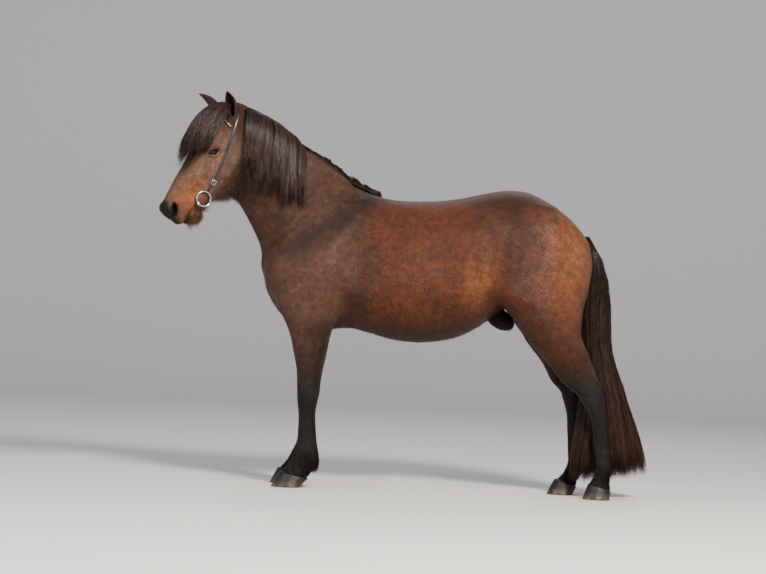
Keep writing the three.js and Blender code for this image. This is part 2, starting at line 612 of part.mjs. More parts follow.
// The bit: a bar through the mouth with an eye at each end, and a loose ring in each eye
const ringWay = unit([MOUTH_CORNER[0] - BIT_RING.at[0], MOUTH_CORNER[1] - 4 - BIT_RING.at[1], 0]);
const barAt = plus([BIT_RING.at[0], BIT_RING.at[1], 0], times(ringWay, BIT_RING.radius));
const bitRing = (side, gap) => inHeadFrame(new THREE.TorusGeometry(BIT_RING.radius, BIT_RING.wire + gap, 6, 20)
  .translate(BIT_RING.at[0], BIT_RING.at[1], -side * BIT_RING.at[2]));
function bitBar(gap) {
  const bar = new THREE.CylinderGeometry(6 + gap, 6 + gap, 2 * (BIT_RING.at[2] - 9), 8).rotateX(Math.PI / 2).translate(...barAt);
  const eyes = [-1, 1].map((side) => inHeadFrame(ball(10 + gap, 8, 6).translate(barAt[0], barAt[1], side * BIT_RING.at[2])));
  return union([inHeadFrame(bar), ...eyes]);
}

// Ears: a cupped leaf, its hollow turned forward and outward; with room it is filled and larger
const EARS = {
  left: { base: [34, -14, 58], tip: [-40, 82, 74], open: [0.55, 0.55, 0.63] },
  right: { base: [36, 4, -60], tip: [0, 136, -102], open: [0.7, 0.45, -0.55] },
};
const EAR_WIDTHS = [[0, 20, 150], [0.2, 26, 135], [0.45, 28, 112], [0.7, 20, 100], [0.88, 10, 95], [1, 3, 90]];
const EAR_POINTS = 6;
function earSolid({ base, tip, open }, room = 0) {
  const from = outOfHead(base);
  const to = outOfHead(tip);
  const up = unit(minus(to, from));
  const openWay = minus(outOfHead(open), outOfHead([0, 0, 0]));
  const front = unit(minus(openWay, times(up, dot(openWay, up))));
  const sideways = cross(up, front);
  const rings = EAR_WIDTHS.map(([share, radius, reachAngle]) => {
    const back = times(front, -6 * Math.sin(Math.PI * share));
    const centre = plus(mix(from, to, share), back);
    const arc = (size, backwards) => Array.from({ length: EAR_POINTS }, (_, i) => {
      const angle = radians(reachAngle) * (2 * i / (EAR_POINTS - 1) - 1) * (backwards ? -1 : 1);
      return plus(centre, plus(times(front, -size * Math.cos(angle)), times(sideways, size * 0.9 * Math.sin(angle))));
    });
    if (room) return arc(radius + room, false);
    return [...arc(radius, false), ...arc(Math.max(radius - EAR_WALL, radius * 0.35), true)];
  });
  const root = solidOfGeometry(ball(1, 10, 8).scale(18 + room, 18 + room, 22 + room), new THREE.Matrix4().makeTranslation(...mix(from, to, 0.04)));
  return union([solidOf(ringSkin(rings, !room)), root]);
}

// Hair that lies along the body: each step follows the pull over the surface, at a given lift
function combed({ root, pull, length, lift, count = 6 }) {
  const path = [root];
  let point = root;
  for (let step = 1; step <= count; step += 1) {
    const normal = outward(bodyDistance, point);
    const way = unit(minus(pull, times(normal, Math.min(dot(pull, normal), 0))));
    point = plus(point, times(way, length / count));
    const off = bodyDistance(point) - lift(step / count);
    if (off < 0 || step < count * 0.7) point = minus(point, times(outward(bodyDistance, point), off));
    path.push(point);
  }
  return path;
}

const crestAt = smoothTable([[-800, 1716], [-751, 1708], [-695, 1686], [-657, 1668], [-610, 1643], [-563, 1608],
  [-515, 1562], [-468, 1534], [-420, 1506], [-373, 1478], [-326, 1446], [-278, 1405], [-231, 1384], [-184, 1366], [-138, 1350]]);
const MANE = {
  near: { from: -778, to: -528, count: 11, side: -1, width: 50, lengths: [[-778, 330], [-720, 410], [-600, 400], [-528, 300]] },
  far: { from: -560, to: -165, count: 11, side: 1, width: 64, lengths: [[-560, 330], [-400, 360], [-250, 260], [-165, 130]] },
};
function maneLocks({ from, to, count, side, width, lengths }) {
  const lengthAt = smoothTable(lengths);
  return Array.from({ length: count }, (_, i) => {
    const x = from + (to - from) * i / (count - 1) + vary(4);
    const turn = radians(HEAD_YAW) * clamp((-x - 650) / 150, 0, 1);
    const middle = -28 * clamp((-x - 500) / 300, 0, 1);
    const root = [x, middle + side * 6, crestAt(x)[0] - 14];
    const top = [x, middle + side * 12, crestAt(x)[0] + 9];
    const pull = unit([-0.06 + 0.3 * Math.sin(turn) * (side > 0 ? 0 : -1) + vary(0.05), side * 0.35, -1]);
    const path = combed({ root: top, pull, length: lengthAt(x)[0] + vary(22), lift: (share) => 14 + 8 * (i % 2) - 4 * share });
    return lock({ path: [root, ...path], lift: [0, side, 0.25], width: width + vary(6), thickness: 15, shape: lockShape, steps: 6 });
  });
}

// Forelock: locks rise between the ears and arch over the forehead
const FORELOCK = { count: 8, half: 80, width: 46, root: [36, 42, 34] };
const FORELOCK_SPREAD = [0.06, 0.12, 0.42, 0.76, 1, 1.05, 1.05];
const FORELOCK_ARCH = [[16, -22], [4, 40], [40, 84], [96, 114], [160, 128], [215, 124], [262, 104]];
function forelockLocks() {
  return Array.from({ length: FORELOCK.count }, (_, i) => {
    const across = 2 * i / (FORELOCK.count - 1) - 1;
    const shrink = 1 - 0.26 * across * across - (across > 0 ? 0.06 : 0);
    const path = FORELOCK_ARCH.map(([down, out], step) => {
      const spread = FORELOCK_SPREAD[step];
      const inward = 1 - 0.55 * across * across * clamp(step / 3, 0, 1);
      return outOfHead([down * shrink + vary(2), out * inward + 4 * (i % 2), -across * FORELOCK.half * spread * -1]);
    });
    return lock({ path, lift: faceOut, width: FORELOCK.width + vary(5), thickness: 18, shape: lockShape, steps: 5 });
  });
}

// Tail: locks leave the dock and fall in a body that widens towards the ground
const tailFront = smoothTable([[80, 802], [200, 808], [350, 822], [500, 838], [650, 836], [750, 834], [900, 840], [1043, 850], [1180, 836]]);
const tailBack = smoothTable([[80, 1140], [156, 1128], [287, 1088], [400, 1046], [523, 1000], [636, 954], [727, 940], [819, 934], [910, 928], [1047, 906], [1111, 886], [1180, 850]]);
const tailHalf = smoothTable([[80, 84], [400, 74], [600, 60], [800, 50], [1000, 40], [1180, 24]]);
const TAIL = { rows: 4, perRow: 6, width: 92, thickness: 44, tips: [84, 146], dockEnd: 760 };
function tailLocks() {
  const locks = [];
  for (let row = 0; row < TAIL.rows; row += 1) {
    for (let i = 0; i < TAIL.perRow; i += 1) {
      const depth = (i + 0.5 * (row % 2)) / (TAIL.perRow - 0.5);
      const aside = 2 * row / (TAIL.rows - 1) - 1;
      const rootHeight = 1150 - 250 * (1 - depth) - 30 * Math.abs(aside) + vary(12);
      const tip = TAIL.tips[0] + (TAIL.tips[1] - TAIL.tips[0]) * depth + Math.abs(vary(34));
      const heights = [0, 0.12, 0.3, 0.5, 0.7, 0.86, 1].map((share) => rootHeight + (tip - rootHeight) * share);
      const path = heights.map((height, step) => {
        const settle = clamp(step / 2, 0, 1);
        const share = 0.5 + (depth - 0.5) * settle;
        const x = tailFront(height)[0] + (tailBack(height)[0] - tailFront(height)[0]) * share;
        return [x + vary(3), aside * tailHalf(height)[0] * settle + vary(4), height];
      });
      locks.push(lock({ path, lift: [0, aside || 1, 0], width: TAIL.width + vary(10), thickness: TAIL.thickness, shape: tailShape, steps: 6 }));
    }
  }
  return locks;
}
function dock() {
  const heights = [1200, 1150, 1080, 1000, 920, 840, TAIL.dockEnd];
  const rings = heights.map((height, step) => {
    const x = (tailFront(height)[0] + tailBack(height)[0]) / 2 - (step ? 0 : 24);
    const half = [26, 34, 36, 34, 29, 22, 10][step];
    return Array.from({ length: 12 }, (_, s) => [x + half * Math.cos(Math.PI * s / 6), 0.9 * half * Math.sin(Math.PI * s / 6), height]);
  });
  return solidOf(ringSkin(rings));
}

// A strap laid on the head through surface points, and its flat section
function strap(points, width, thickness) {
  const rings = points.map((point, i) => {
    const run = unit(minus(points[Math.min(i + 1, points.length - 1)], points[Math.max(i - 1, 0)]));
    const normal = outward(bodyDistance, point);
    const out = unit(minus(normal, times(run, dot(normal, run))));
    const across = cross(run, out);
    return [[-1, -1.5], [1, -1.5], [1, thickness], [-1, thickness]].map(([w, d]) =>
      plus(point, plus(times(across, w * width / 2), times(out, d))));
  });
  return solidOf(ringSkin(rings));
}

// The point of the cheek beside a place on the profile
function cheek(down, out, side) {
  let near = 0;
  let far = 160;
  for (let halving = 0; halving < 16; halving += 1) {
    const middle = (near + far) / 2;
    if (bodyDistance(outOfHead([down, out, -side * middle])) < 0) near = middle;
    else far = middle;
  }
  return outOfHead([down, out, -side * near]);
}

const CHEEKPIECE = [[-6, -16], [97, -39], [365, -87], [389, -87]];
function cheekpiece(side, extra) {
  const points = [];
  for (let i = 0; i < CHEEKPIECE.length - 1; i += 1) {
    const steps = [2, 5, 1][i];
    for (let s = i ? 1 : 0; s <= steps; s += 1) {
      const [down, out] = mix(CHEEKPIECE[i], CHEEKPIECE[i + 1], s / steps);
      points.push(cheek(down, out, side));
    }
  }
  return strap(points, STRAP.width + extra, STRAP.thickness + extra);
}

// A strap over the head from one side to the other, from rays in its own plane
function overHead(centre, second, fromDegrees, toDegrees, count, extra) {
  const middle = outOfHead(centre);
  const up = unit(minus(outOfHead(second), outOfHead([0, 0, 0])));
  const points = Array.from({ length: count + 1 }, (_, i) => {
    const angle = radians(fromDegrees + (toDegrees - fromDegrees) * i / count);
    const ray = plus(times(faceLeft, Math.cos(angle)), times(up, Math.sin(angle)));
    let near = 0;
    let far = 200;
    for (let halving = 0; halving < 16; halving += 1) {
      const reach = (near + far) / 2;
      if (bodyDistance(plus(middle, times(ray, reach))) < 0) near = reach;
      else far = reach;
    }
    return plus(middle, times(ray, near));
  });
  return strap(points, STRAP.width + extra, STRAP.thickness + extra);
}

// A small frame buckle over each cheekpiece
function buckle(side) {
  const outer = new THREE.Shape([[-11, -13], [11, -13], [11, 13], [-11, 13]].map(([x, y]) => new THREE.Vector2(x, y)));
  outer.holes.push(new THREE.Path([[-7.5, -9], [-7.5, 9], [7.5, 9], [7.5, -9]].map(([x, y]) => new THREE.Vector2(x, y))));
  const frame = new THREE.ExtrudeGeometry(outer, { depth: 3, bevelEnabled: false });
  const at = cheek(345, -83.5, side);
  const normal = outward(bodyDistance, at);
  const run = unit(minus(cheek(360, -86, side), cheek(330, -81, side)));
  const out = unit(minus(normal, times(run, dot(normal, run))));
  const place = new THREE.Matrix4().makeBasis(new THREE.Vector3(...cross(run, out)), new THREE.Vector3(...run), new THREE.Vector3(...out))
    .setPosition(...plus(at, times(out, STRAP.thickness + 1.4)));
  return solidOfGeometry(frame, place);
}

const strapSet = (extra) => ({
  bridle_crownpiece: overHead([-17, -60, 0], [0, 1, 0], 42, 138, 8, extra),
  bridle_browband: overHead([84, 0, 0], [-27, 84, 0], -14, 194, 11, extra),
  bridle_cheekpiece_left: cheekpiece(SIDES.left, extra),
  bridle_cheekpiece_right: cheekpiece(SIDES.right, extra),
});
const straps = strapSet(0);
const strapRoom = union(Object.values(strapSet(2 * GAP)));

// Neck skin from rings between its two cut faces
const NECK_RINGS = 13;
const NECK_SEGMENTS = 28;
function neckSkin() {
  const baseNormal = unit(NECK_CUT_NORMAL);
  const rings = Array.from({ length: NECK_RINGS }, (_, i) => {
    const share = i / (NECK_RINGS - 1);
    const normal = unit(mix(baseNormal, forward, share));
    const low = plus(NECK_CUT, times(baseNormal, GAP / 2));
    const high = plus(HEAD_CUT, times(forward, -GAP));
    const across = unit(cross([0, 0, 1], normal));
    return ringOn(bodyDistance, mix(low, high, share), across, cross(normal, across), NECK_SEGMENTS);
  });
  return ringSkin(rings);
}

// Materials from the coat, horn, leather and metal
const paint = (color, roughness, metalness = 0) => new THREE.MeshStandardMaterial({ color, roughness, metalness });
const COAT = paint(0x4a2616, 0.6);
const DARK_COAT = paint(0x2c1a14, 0.65);
const HAIR = paint(0x1c1312, 0.6);
const HORN = paint(0x2b2725, 0.5);
const EYE_FINISH = paint(0x120b08, 0.1);
const LEATHER = paint(0x20232a, 0.45);
const METAL = paint(0xc9ccd0, 0.2, 1);

const horse = new THREE.Group();
function addNode(name, solid, material) {
  const { vertProperties, triVerts } = largest(solid).getMesh();
  const geometry = new THREE.BufferGeometry();
  geometry.setAttribute('position', new THREE.BufferAttribute(new Float32Array(vertProperties), 3));
  geometry.setIndex(new THREE.BufferAttribute(new Uint32Array(triVerts), 1));
  geometry.computeVertexNormals();
  const mesh = new THREE.Mesh(geometry, material);
  mesh.name = name;
  horse.add(mesh);
}

const legSolids = Object.fromEntries(LEGS.map((leg) => [leg.name, solidOf(legSkin(leg))]));
const headBlock = halfSpace(plus(HEAD_CUT, times(forward, GAP / 2)), forward);
const eyeHoles = union(Object.values(SIDES).map((side) => eyeSolid(side, GAP)));
const lids = Object.values(SIDES).flatMap((side) => [lid(side, 42), lid(side, -38)]);
const nostrils = Object.values(SIDES).map(nostril);
const earSolids = Object.fromEntries(Object.entries(EARS).map(([side, ear]) => [side, earSolid(ear).subtract(headGrown).subtract(strapRoom)]));
const earRoom = union(Object.values(EARS).map((ear) => earSolid(ear, GAP)));

addNode('torso', torso, COAT);
addNode('neck', union([solidOf(neckSkin()), union([...maneLocks(MANE.near), ...maneLocks(MANE.far)]).subtract(strapRoom).subtract(earRoom)])
  .subtract(headGrown.intersect(headBlock)).subtract(torsoGrown), DARK_COAT);
addNode('head', union([solidOf(headSkin).intersect(headBlock), ...lids, union([inHeadFrame(ball(1, 12, 8).scale(...FORELOCK.root).translate(22, 24, 0)), ...forelockLocks()]).subtract(strapRoom).subtract(earRoom)])
  .subtract(eyeHoles).subtract(union(nostrils)).subtract(mouthLine()).subtract(bitBar(GAP)), DARK_COAT);
addNode('tail', union([dock(), ...tailLocks()]).subtract(torsoGrown).subtract(union(Object.values(legSolids))), HAIR);
for (const leg of LEGS) {
  addNode(`leg_${leg.name}`, legSolids[leg.name], DARK_COAT);
  addNode(`hoof_${leg.name}`, solidOf(hoofSkin(leg)), HORN);
}
for (const [name, side] of Object.entries(SIDES)) {
  addNode(`ear_${name}`, earSolids[name], DARK_COAT);
  addNode(`eye_${name}`, eyeSolid(side, 0), EYE_FINISH);
  addNode(`bit_ring_${name}`, bitRing(side, 0), METAL);
  addNode(`bridle_buckle_${name}`, buckle(side), METAL);
}
addNode('bit_mouthpiece', bitBar(0).subtract(union(Object.values(SIDES).map((side) => bitRing(side, GAP)))), METAL);
for (const [name, solid] of Object.entries(straps)) addNode(name, solid.subtract(headGrown), LEATHER);

export default horse;
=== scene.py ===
"""Looks of the standing Icelandic horse: skin, coat, mane, forelock, tail, eyes, hooves and bridle.

Metres, in the CAD frame: +Z up, the horse faces -X, its left side is -Y. The shape functions below
work in millimetres, as the solids do, and the meshes are scaled once when they are made.
"""
import math

import bmesh
import bpy
import numpy as np
from mathutils import Matrix, Vector


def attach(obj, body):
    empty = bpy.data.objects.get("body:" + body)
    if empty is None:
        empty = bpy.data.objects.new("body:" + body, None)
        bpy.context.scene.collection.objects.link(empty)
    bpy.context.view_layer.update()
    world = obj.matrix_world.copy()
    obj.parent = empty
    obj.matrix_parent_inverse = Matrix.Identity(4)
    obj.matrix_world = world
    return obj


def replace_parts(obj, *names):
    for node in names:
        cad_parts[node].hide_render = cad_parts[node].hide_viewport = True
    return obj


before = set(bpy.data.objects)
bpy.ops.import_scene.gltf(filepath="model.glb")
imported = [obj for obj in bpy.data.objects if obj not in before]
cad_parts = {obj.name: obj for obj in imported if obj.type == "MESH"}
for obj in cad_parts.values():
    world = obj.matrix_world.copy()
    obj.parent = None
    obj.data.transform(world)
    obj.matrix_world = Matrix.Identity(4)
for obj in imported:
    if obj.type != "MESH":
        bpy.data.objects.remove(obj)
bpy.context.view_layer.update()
scene = bpy.context.scene
random = np.random.default_rng(11)
MM = 0.001
LEFT, RIGHT = -1, 1

# Places and sizes in millimetres, angles in radians. Places on the head are in its own frame
HEAD_YAW = math.radians(26)
FACE_SLOPE = math.radians(29.6)
POLL = np.array([-840.0, -25.0, 1712.0])
EYE_AT = np.array([232.0, -9.0, 76.0])
EYE_RADIUS = 21.0
MOUTH_CORNER = np.array([468.0, -72.0])
COAT_DEPTH = 2.0
NECK_BLEND, HEAD_BLEND, FORELEG_BLEND, HINDLEG_BLEND = 90, 30, 40, 46
LIP_BLEND, LID_BLEND, OPENING_BLEND, NOSTRIL_BLEND = 6, 9, 2.5, 3
LEG_TOP = 690  # the unwrap has legs below this height and the trunk above it
FORE_END = 200  # forelegs lie ahead of this place, hind legs behind it

# Sections: place along the axis, low and high edge, middle, half width, the share of the way from the
# low to the high edge where the section is widest, and roundness, which is 2 for an ellipse
TORSO_SECTIONS = [
    (-650, 900, 1100, 0, 120, 0.5, 2.0), (-590, 815, 1150, 0, 150, 0.45, 2.1),
    (-530, 765, 1185, 0, 170, 0.42, 2.1), (-450, 730, 1225, 0, 180, 0.42, 2.1),
    (-350, 722, 1270, 0, 194, 0.4, 2.1), (-250, 730, 1330, 0, 210, 0.4, 2.0),
    (-160, 712, 1338, 0, 230, 0.4, 2.0), (-50, 686, 1327, 0, 256, 0.42, 2.1),
    (60, 678, 1328, 0, 274, 0.44, 2.2), (160, 689, 1336, 0, 280, 0.46, 2.2),
    (250, 713, 1352, 0, 275, 0.48, 2.3), (340, 762, 1374, 0, 264, 0.5, 2.3),
    (440, 840, 1393, 0, 250, 0.55, 2.3), (540, 890, 1387, 0, 235, 0.58, 2.3),
    (640, 930, 1342, 0, 212, 0.6, 2.2), (730, 965, 1282, 0, 178, 0.6, 2.1),
    (830, 1000, 1195, 0, 120, 0.6, 2.0),
]
NECK_SECTIONS = [
    (-220, -330, 180, 0, 110, 0.42, 2.0), (-130, -345, 240, 0, 148, 0.42, 2.0),
    (-40, -340, 268, 0, 172, 0.42, 2.0), (60, -300, 264, 0, 156, 0.42, 2.0),
    (120, -264, 264, 0, 142, 0.42, 2.0), (180, -231, 255, 0, 124, 0.42, 1.9),
    (260, -204, 238, -2, 108, 0.42, 1.9), (340, -184, 215, -8, 98, 0.42, 1.9),
    (420, -170, 205, -16, 92, 0.44, 1.9), (500, -150, 192, -22, 84, 0.46, 2.0),
    (580, -110, 168, -28, 76, 0.5, 2.0), (660, -60, 118, -32, 64, 0.5, 2.0),
]
HEAD_SECTIONS = [
    (-45, -120, -8, 0, 56, 0.55, 2.0), (0, -140, 4, 0, 66, 0.6, 2.0),
    (60, -152, 34, 0, 80, 0.62, 2.2), (130, -158, 54, 0, 88, 0.64, 2.4),
    (200, -178, 62, 0, 91, 0.68, 2.6), (250, -202, 61, 0, 87, 0.7, 2.6),
    (300, -219, 58, 0, 80, 0.7, 2.5), (340, -206, 58, 0, 73, 0.66, 2.4),
    (380, -172, 59, 0, 66, 0.62, 2.3), (420, -145, 59, 0, 59, 0.58, 2.3),
    (470, -118, 57, 0, 53, 0.56, 2.3), (520, -84, 53, 0, 51, 0.5, 2.3),
    (560, -70, 46, 0, 48, 0.5, 2.2),
]
FORELEG_SECTIONS = [
    (40, -556, -420, 125, 44, 0.5, 2.0), (60, -542, -408, 125, 41, 0.5, 2.0),
    (82, -526, -393, 125, 35, 0.45, 2.0), (105, -507, -376, 125, 33, 0.45, 2.0),
    (130, -493, -369, 125, 34, 0.45, 2.0), (155, -483, -368, 125, 37, 0.45, 2.0),
    (185, -470, -372, 125, 33, 0.45, 2.0), (214, -465, -377, 125, 28, 0.45, 2.0),
    (260, -465, -382, 125, 27, 0.45, 2.0), (306, -466, -386, 126, 28, 0.45, 2.0),
    (351, -470, -387, 127, 34, 0.45, 2.2), (396, -476, -380, 128, 42, 0.45, 2.4),
    (430, -478, -373, 129, 44, 0.45, 2.4), (470, -480, -370, 130, 41, 0.45, 2.2),
    (532, -484, -363, 133, 45, 0.45, 2.0), (577, -493, -355, 136, 50, 0.45, 2.0),
    (623, -504, -348, 140, 56, 0.45, 2.0), (677, -516, -341, 143, 63, 0.5, 2.0),
    (722, -532, -330, 146, 70, 0.5, 2.0), (760, -550, -315, 145, 74, 0.5, 2.0),
    (820, -580, -300, 140, 76, 0.5, 2.1), (900, -612, -298, 134, 76, 0.5, 2.2),
    (980, -628, -305, 128, 74, 0.5, 2.2), (1060, -612, -300, 118, 68, 0.5, 2.2),
    (1140, -560, -275, 104, 62, 0.5, 2.1), (1220, -480, -240, 86, 54, 0.5, 2.0),
    (1300, -390, -205, 64, 42, 0.5, 2.0),
]
HINDLEG_SECTIONS = [
    (40, 850, 968, 118, 42, 0.5, 2.0), (60, 862, 964, 118, 40, 0.5, 2.0),
    (85, 877, 959, 118, 34, 0.5, 2.0), (115, 890, 957, 118, 32, 0.5, 2.0),
    (150, 896, 963, 118, 35, 0.5, 2.0), (185, 892, 958, 118, 31, 0.5, 2.0),
    (226, 884, 951, 118, 27, 0.5, 2.0), (300, 873, 942, 119, 26, 0.5, 2.0),
    (370, 860, 932, 120, 30, 0.5, 2.0), (415, 836, 926, 120, 36, 0.45, 2.2),
    (450, 811, 920, 120, 38, 0.45, 2.2), (478, 790, 914, 121, 37, 0.45, 2.2),
    (523, 731, 904, 124, 36, 0.4, 2.0), (568, 690, 880, 128, 41, 0.4, 2.0),
    (610, 655, 862, 133, 50, 0.4, 2.0), (669, 600, 838, 140, 64, 0.42, 2.0),
    (709, 566, 818, 144, 76, 0.45, 2.0), (745, 541, 806, 146, 86, 0.48, 2.0),
    (791, 505, 804, 146, 96, 0.5, 2.0), (860, 455, 810, 142, 106, 0.5, 2.1),
    (915, 405, 822, 138, 110, 0.5, 2.2), (975, 375, 832, 134, 112, 0.5, 2.2),
    (1043, 352, 836, 128, 112, 0.5, 2.2), (1111, 345, 830, 120, 108, 0.5, 2.2),
    (1180, 360, 812, 108, 102, 0.5, 2.2), (1250, 400, 745, 94, 92, 0.5, 2.1),
    (1310, 440, 660, 80, 76, 0.5, 2.0),
]
# How far the right legs stand ahead of the left ones, by height
FAR_FORELEG_LEAD = [(0, 16), (150, 12), (400, 6), (700, 0)]
FAR_HINDLEG_LEAD = [(0, 150), (50, 140), (110, 120), (226, 106), (380, 90), (500, 48), (600, 15), (720, 0)]

# Rounded forms: centre, radii, turn in degrees, and how far they blend into the body
TORSO_FORMS = [
    ((-545, 66, 950), (98, 88, 135), 0, 55),
    ((735, 62, 1060), (100, 90, 130), 0, 60),
    ((438, 0, 800), (72, 36, 46), -28, 16),
]
HEAD_FORMS = [
    ((544, -10, 0), (56, 61, 51), 0, 14),
    ((548, 10, 34), (34, 38, 24), 0, 14),
    ((562, -46, 0), (36, 36, 40), 0, 8),
    ((532, -104, 0), (30, 19, 34), 0, 5),
    ((505, -106, 0), (34, 23, 30), 0, 12),
    ((262, -95, 36), (92, 92, 52), 0, 24),
    ((222, 18, 68), (40, 22, 26), 0, 16),
    ((330, -22, 50), (90, 16, 18), 4, 16),
]
# Low swellings, and hollows where the height is negative: centre, radii and height
BODY_RELIEF = [
    ((-640, 150, 1015), (60, 60, 70), 10),
    ((-400, 205, 930), (95, 70, 110), 10),
    ((-235, 215, 1060), (75, 90, 190), -6),
    ((-655, 0, 960), (70, 22, 130), -14),
    ((-560, 95, 850), (70, 60, 60), -12),
    ((-700, 95, 1200), (150, 60, 32), -6),
    ((330, 262, 1060), (70, 80, 120), -12),
    ((390, 225, 1240), (50, 50, 45), 10),
    ((470, 215, 900), (75, 60, 75), 9),
    ((690, 205, 1130), (60, 80, 120), 8),
    ((840, 0, 1000), (60, 20, 190), -22),
]

# Directions of the head's own frame: down the face, out of the forehead, to the horse's left
forward = np.array([-math.cos(HEAD_YAW), -math.sin(HEAD_YAW), 0.0])
upright = np.array([0.0, 0.0, 1.0])
face_down = math.sin(FACE_SLOPE) * forward - math.cos(FACE_SLOPE) * upright
face_out = math.cos(FACE_SLOPE) * forward + math.sin(FACE_SLOPE) * upright
face_left = np.cross(upright, forward)
HEAD_AXES = np.stack([face_down, face_out, face_left])


def in_head(points):
    """Places in the head's frame, measured from the poll."""
    return (np.asarray(points) - POLL) @ HEAD_AXES.T


def out_of_head(local):
    return POLL + np.asarray(local, float) @ HEAD_AXES


def both_sides(points, axis):
    """A copy without the sign of one axis, so that one form serves both sides."""
    copy = points.copy()
    copy[:, axis] = np.abs(copy[:, axis])
    return copy


def unit(vectors):
    return vectors / np.maximum(np.linalg.norm(vectors, axis=-1, keepdims=True), 1e-6)


def soft(value, start, stop):
    """Rises smoothly from 0 at start to 1 at stop."""
    share = np.clip((value - start) / (stop - start), 0, 1)
    return share * share * (3 - 2 * share)


def bell(offset, width, power=2):
    """1 where the offset is 0, and less on both sides of it."""
    return np.exp(-((offset / width) ** power))


def spot(points, centre, radii):
    """1 at the centre, and less in an ellipsoid round it."""
    return np.exp(-(((points - np.array(centre, float)) / radii) ** 2).sum(1))


def smooth_table(rows):
    """Smooth values between table rows whose first number runs upwards."""
    table = np.array(rows, float)
    at = table[:, 0]
    before = np.maximum(np.arange(len(at)) - 1, 0)
    after = np.minimum(np.arange(len(at)) + 1, len(at) - 1)
    slopes = (table[after] - table[before]) / (at[after] - at[before])[:, None]

    def values(along):
        t = np.clip(along, at[0], at[-1])
        i = np.clip(np.searchsorted(at, t, side="left") - 1, 0, len(at) - 2)
        span = at[i + 1] - at[i]
        s = (t - at[i]) / span
        start = (1 + s * s * (2 * s - 3))[..., None]
        rise = (s * (1 - s) ** 2 * span)[..., None]
        fall = (s * s * (s - 1) * span)[..., None]
        found = start * table[i] + (1 - start) * table[i + 1] + rise * slopes[i] + fall * slopes[i + 1]
        return found[..., 1:]

    return values


def sections(origin, along, across, side, rows, dome=(0, 0), lead=None):
    """Distance to a body made of sections across a straight axis."""
    section_at = smooth_table(rows)
    lead_at = smooth_table(lead) if lead else None
    first, last = rows[0][0], rows[-1][0]
    axes = np.stack([along, across, side]).astype(float)

    def distance(points):
        local = (points - np.array(origin, float)) @ axes.T
        t, a, b = local[:, 0], local[:, 1], local[:, 2]
        if lead_at:
            a = a + lead_at(t)[:, 0]
        low, high, middle, half, widest, power = section_at(t).T
        share = np.zeros_like(t)
        if dome[0]:
            share = np.clip((first + dome[0] - t) / dome[0], 0, 1)
        if dome[1]:
            share = np.maximum(share, np.clip((t - last + dome[1]) / dome[1], 0, 1))
        scale = np.maximum(np.sqrt(1 - share**2), 0.05)
        centre = low + widest * (high - low)
        reach = np.where(a > centre, high - centre, centre - low) * scale
        da = np.abs(a - centre) / reach
        db = np.abs(b - middle) / (half * scale)
        radius = np.maximum((da**power + db**power) ** (1 / power), 1e-6)
        gradient = np.hypot(da ** (power - 1) / reach, db ** (power - 1) / (half * scale))
        steep = gradient * radius ** (1 - power)
        outside = (radius - 1) / np.maximum(steep, 1e-4)
        past = np.maximum(first - t, t - last)
        inner = np.minimum(np.maximum(outside, past), 0)
        return inner + np.hypot(np.maximum(outside, 0), np.maximum(past, 0))

    return distance


def ellipsoid(points, centre, radii, turn, first, second):
    """Distance to an ellipsoid turned in the plane of two axes."""
    c, s = math.cos(math.radians(turn)), math.sin(math.radians(turn))
    off = points - np.array(centre, float)
    turned = off.copy()
    turned[:, first] = c * off[:, first] + s * off[:, second]
    turned[:, second] = c * off[:, second] - s * off[:, first]
    size = np.sqrt(((turned / radii) ** 2).sum(1))
    steep = np.sqrt(((turned / np.square(radii)) ** 2).sum(1))
    return size * (size - 1) / np.maximum(steep, 1e-4)


def blended(a, b, blend):
    """Distance to two forms that run into each other over a width."""
    h = np.maximum(blend - np.abs(a - b), 0)
    return np.minimum(a, b) - h * h / (4 * blend)


def carved(a, b, blend):
    """What is left of a where b is taken away."""
    return -blended(-a, b, blend)


torso_shape = sections((0, 0, 0), (1, 0, 0), (0, 0, 1), (0, 1, 0), TORSO_SECTIONS, dome=(95, 95))
diagonal = math.sqrt(0.5)
neck_shape = sections((-400, 0, 1150), (-diagonal, 0, diagonal), (diagonal, 0, diagonal), (0, 1, 0),
                      NECK_SECTIONS)
skull_shape = sections((0, 0, 0), (1, 0, 0), (0, 1, 0), (0, 0, 1), HEAD_SECTIONS)
leg_shapes = []
for sign in (LEFT, RIGHT):
    far = sign == RIGHT
    way = ((0, 0, 0), (0, 0, 1), (1, 0, 0), (0, sign, 0))
    for leg_blend, leg_rows, leg_lead in ((FORELEG_BLEND, FORELEG_SECTIONS, FAR_FORELEG_LEAD),
                                          (HINDLEG_BLEND, HINDLEG_SECTIONS, FAR_HINDLEG_LEAD)):
        leg_shapes.append((leg_blend, sections(*way, leg_rows, lead=leg_lead if far else None)))

# Details of the face, in the head's frame, with turns in degrees
NOSTRIL_AT, NOSTRIL_RADII, NOSTRIL_TURN = (552, 4, 54), (33, 14, 26), -30
LIPS = [((541, -88, 0), (25, 14, 30)), ((520, -92, 12), (30, 16, 24))]
LID_RADIUS = 25.5
LID_OPENING = (31.0, 13.5, 21.0)
EYE_SLANT = 38.0
slant_cos, slant_sin = math.cos(math.radians(EYE_SLANT)), math.sin(math.radians(EYE_SLANT))


def eye_slant(down, out):
    """Distances from the eye along its slanted opening and above it."""
    return down * slant_cos + out * slant_sin, out * slant_cos - down * slant_sin


def mouth_line(head):
    """Distances ahead of the corner of the mouth and above the line between the lips."""
    run = head[:, 0] - MOUTH_CORNER[0]
    return run, head[:, 1] - MOUTH_CORNER[1] + 0.13 * run - 4 * np.sin(run / 26)


def nostril_distance(head):
    return ellipsoid(head, NOSTRIL_AT, NOSTRIL_RADII, NOSTRIL_TURN, 0, 1)


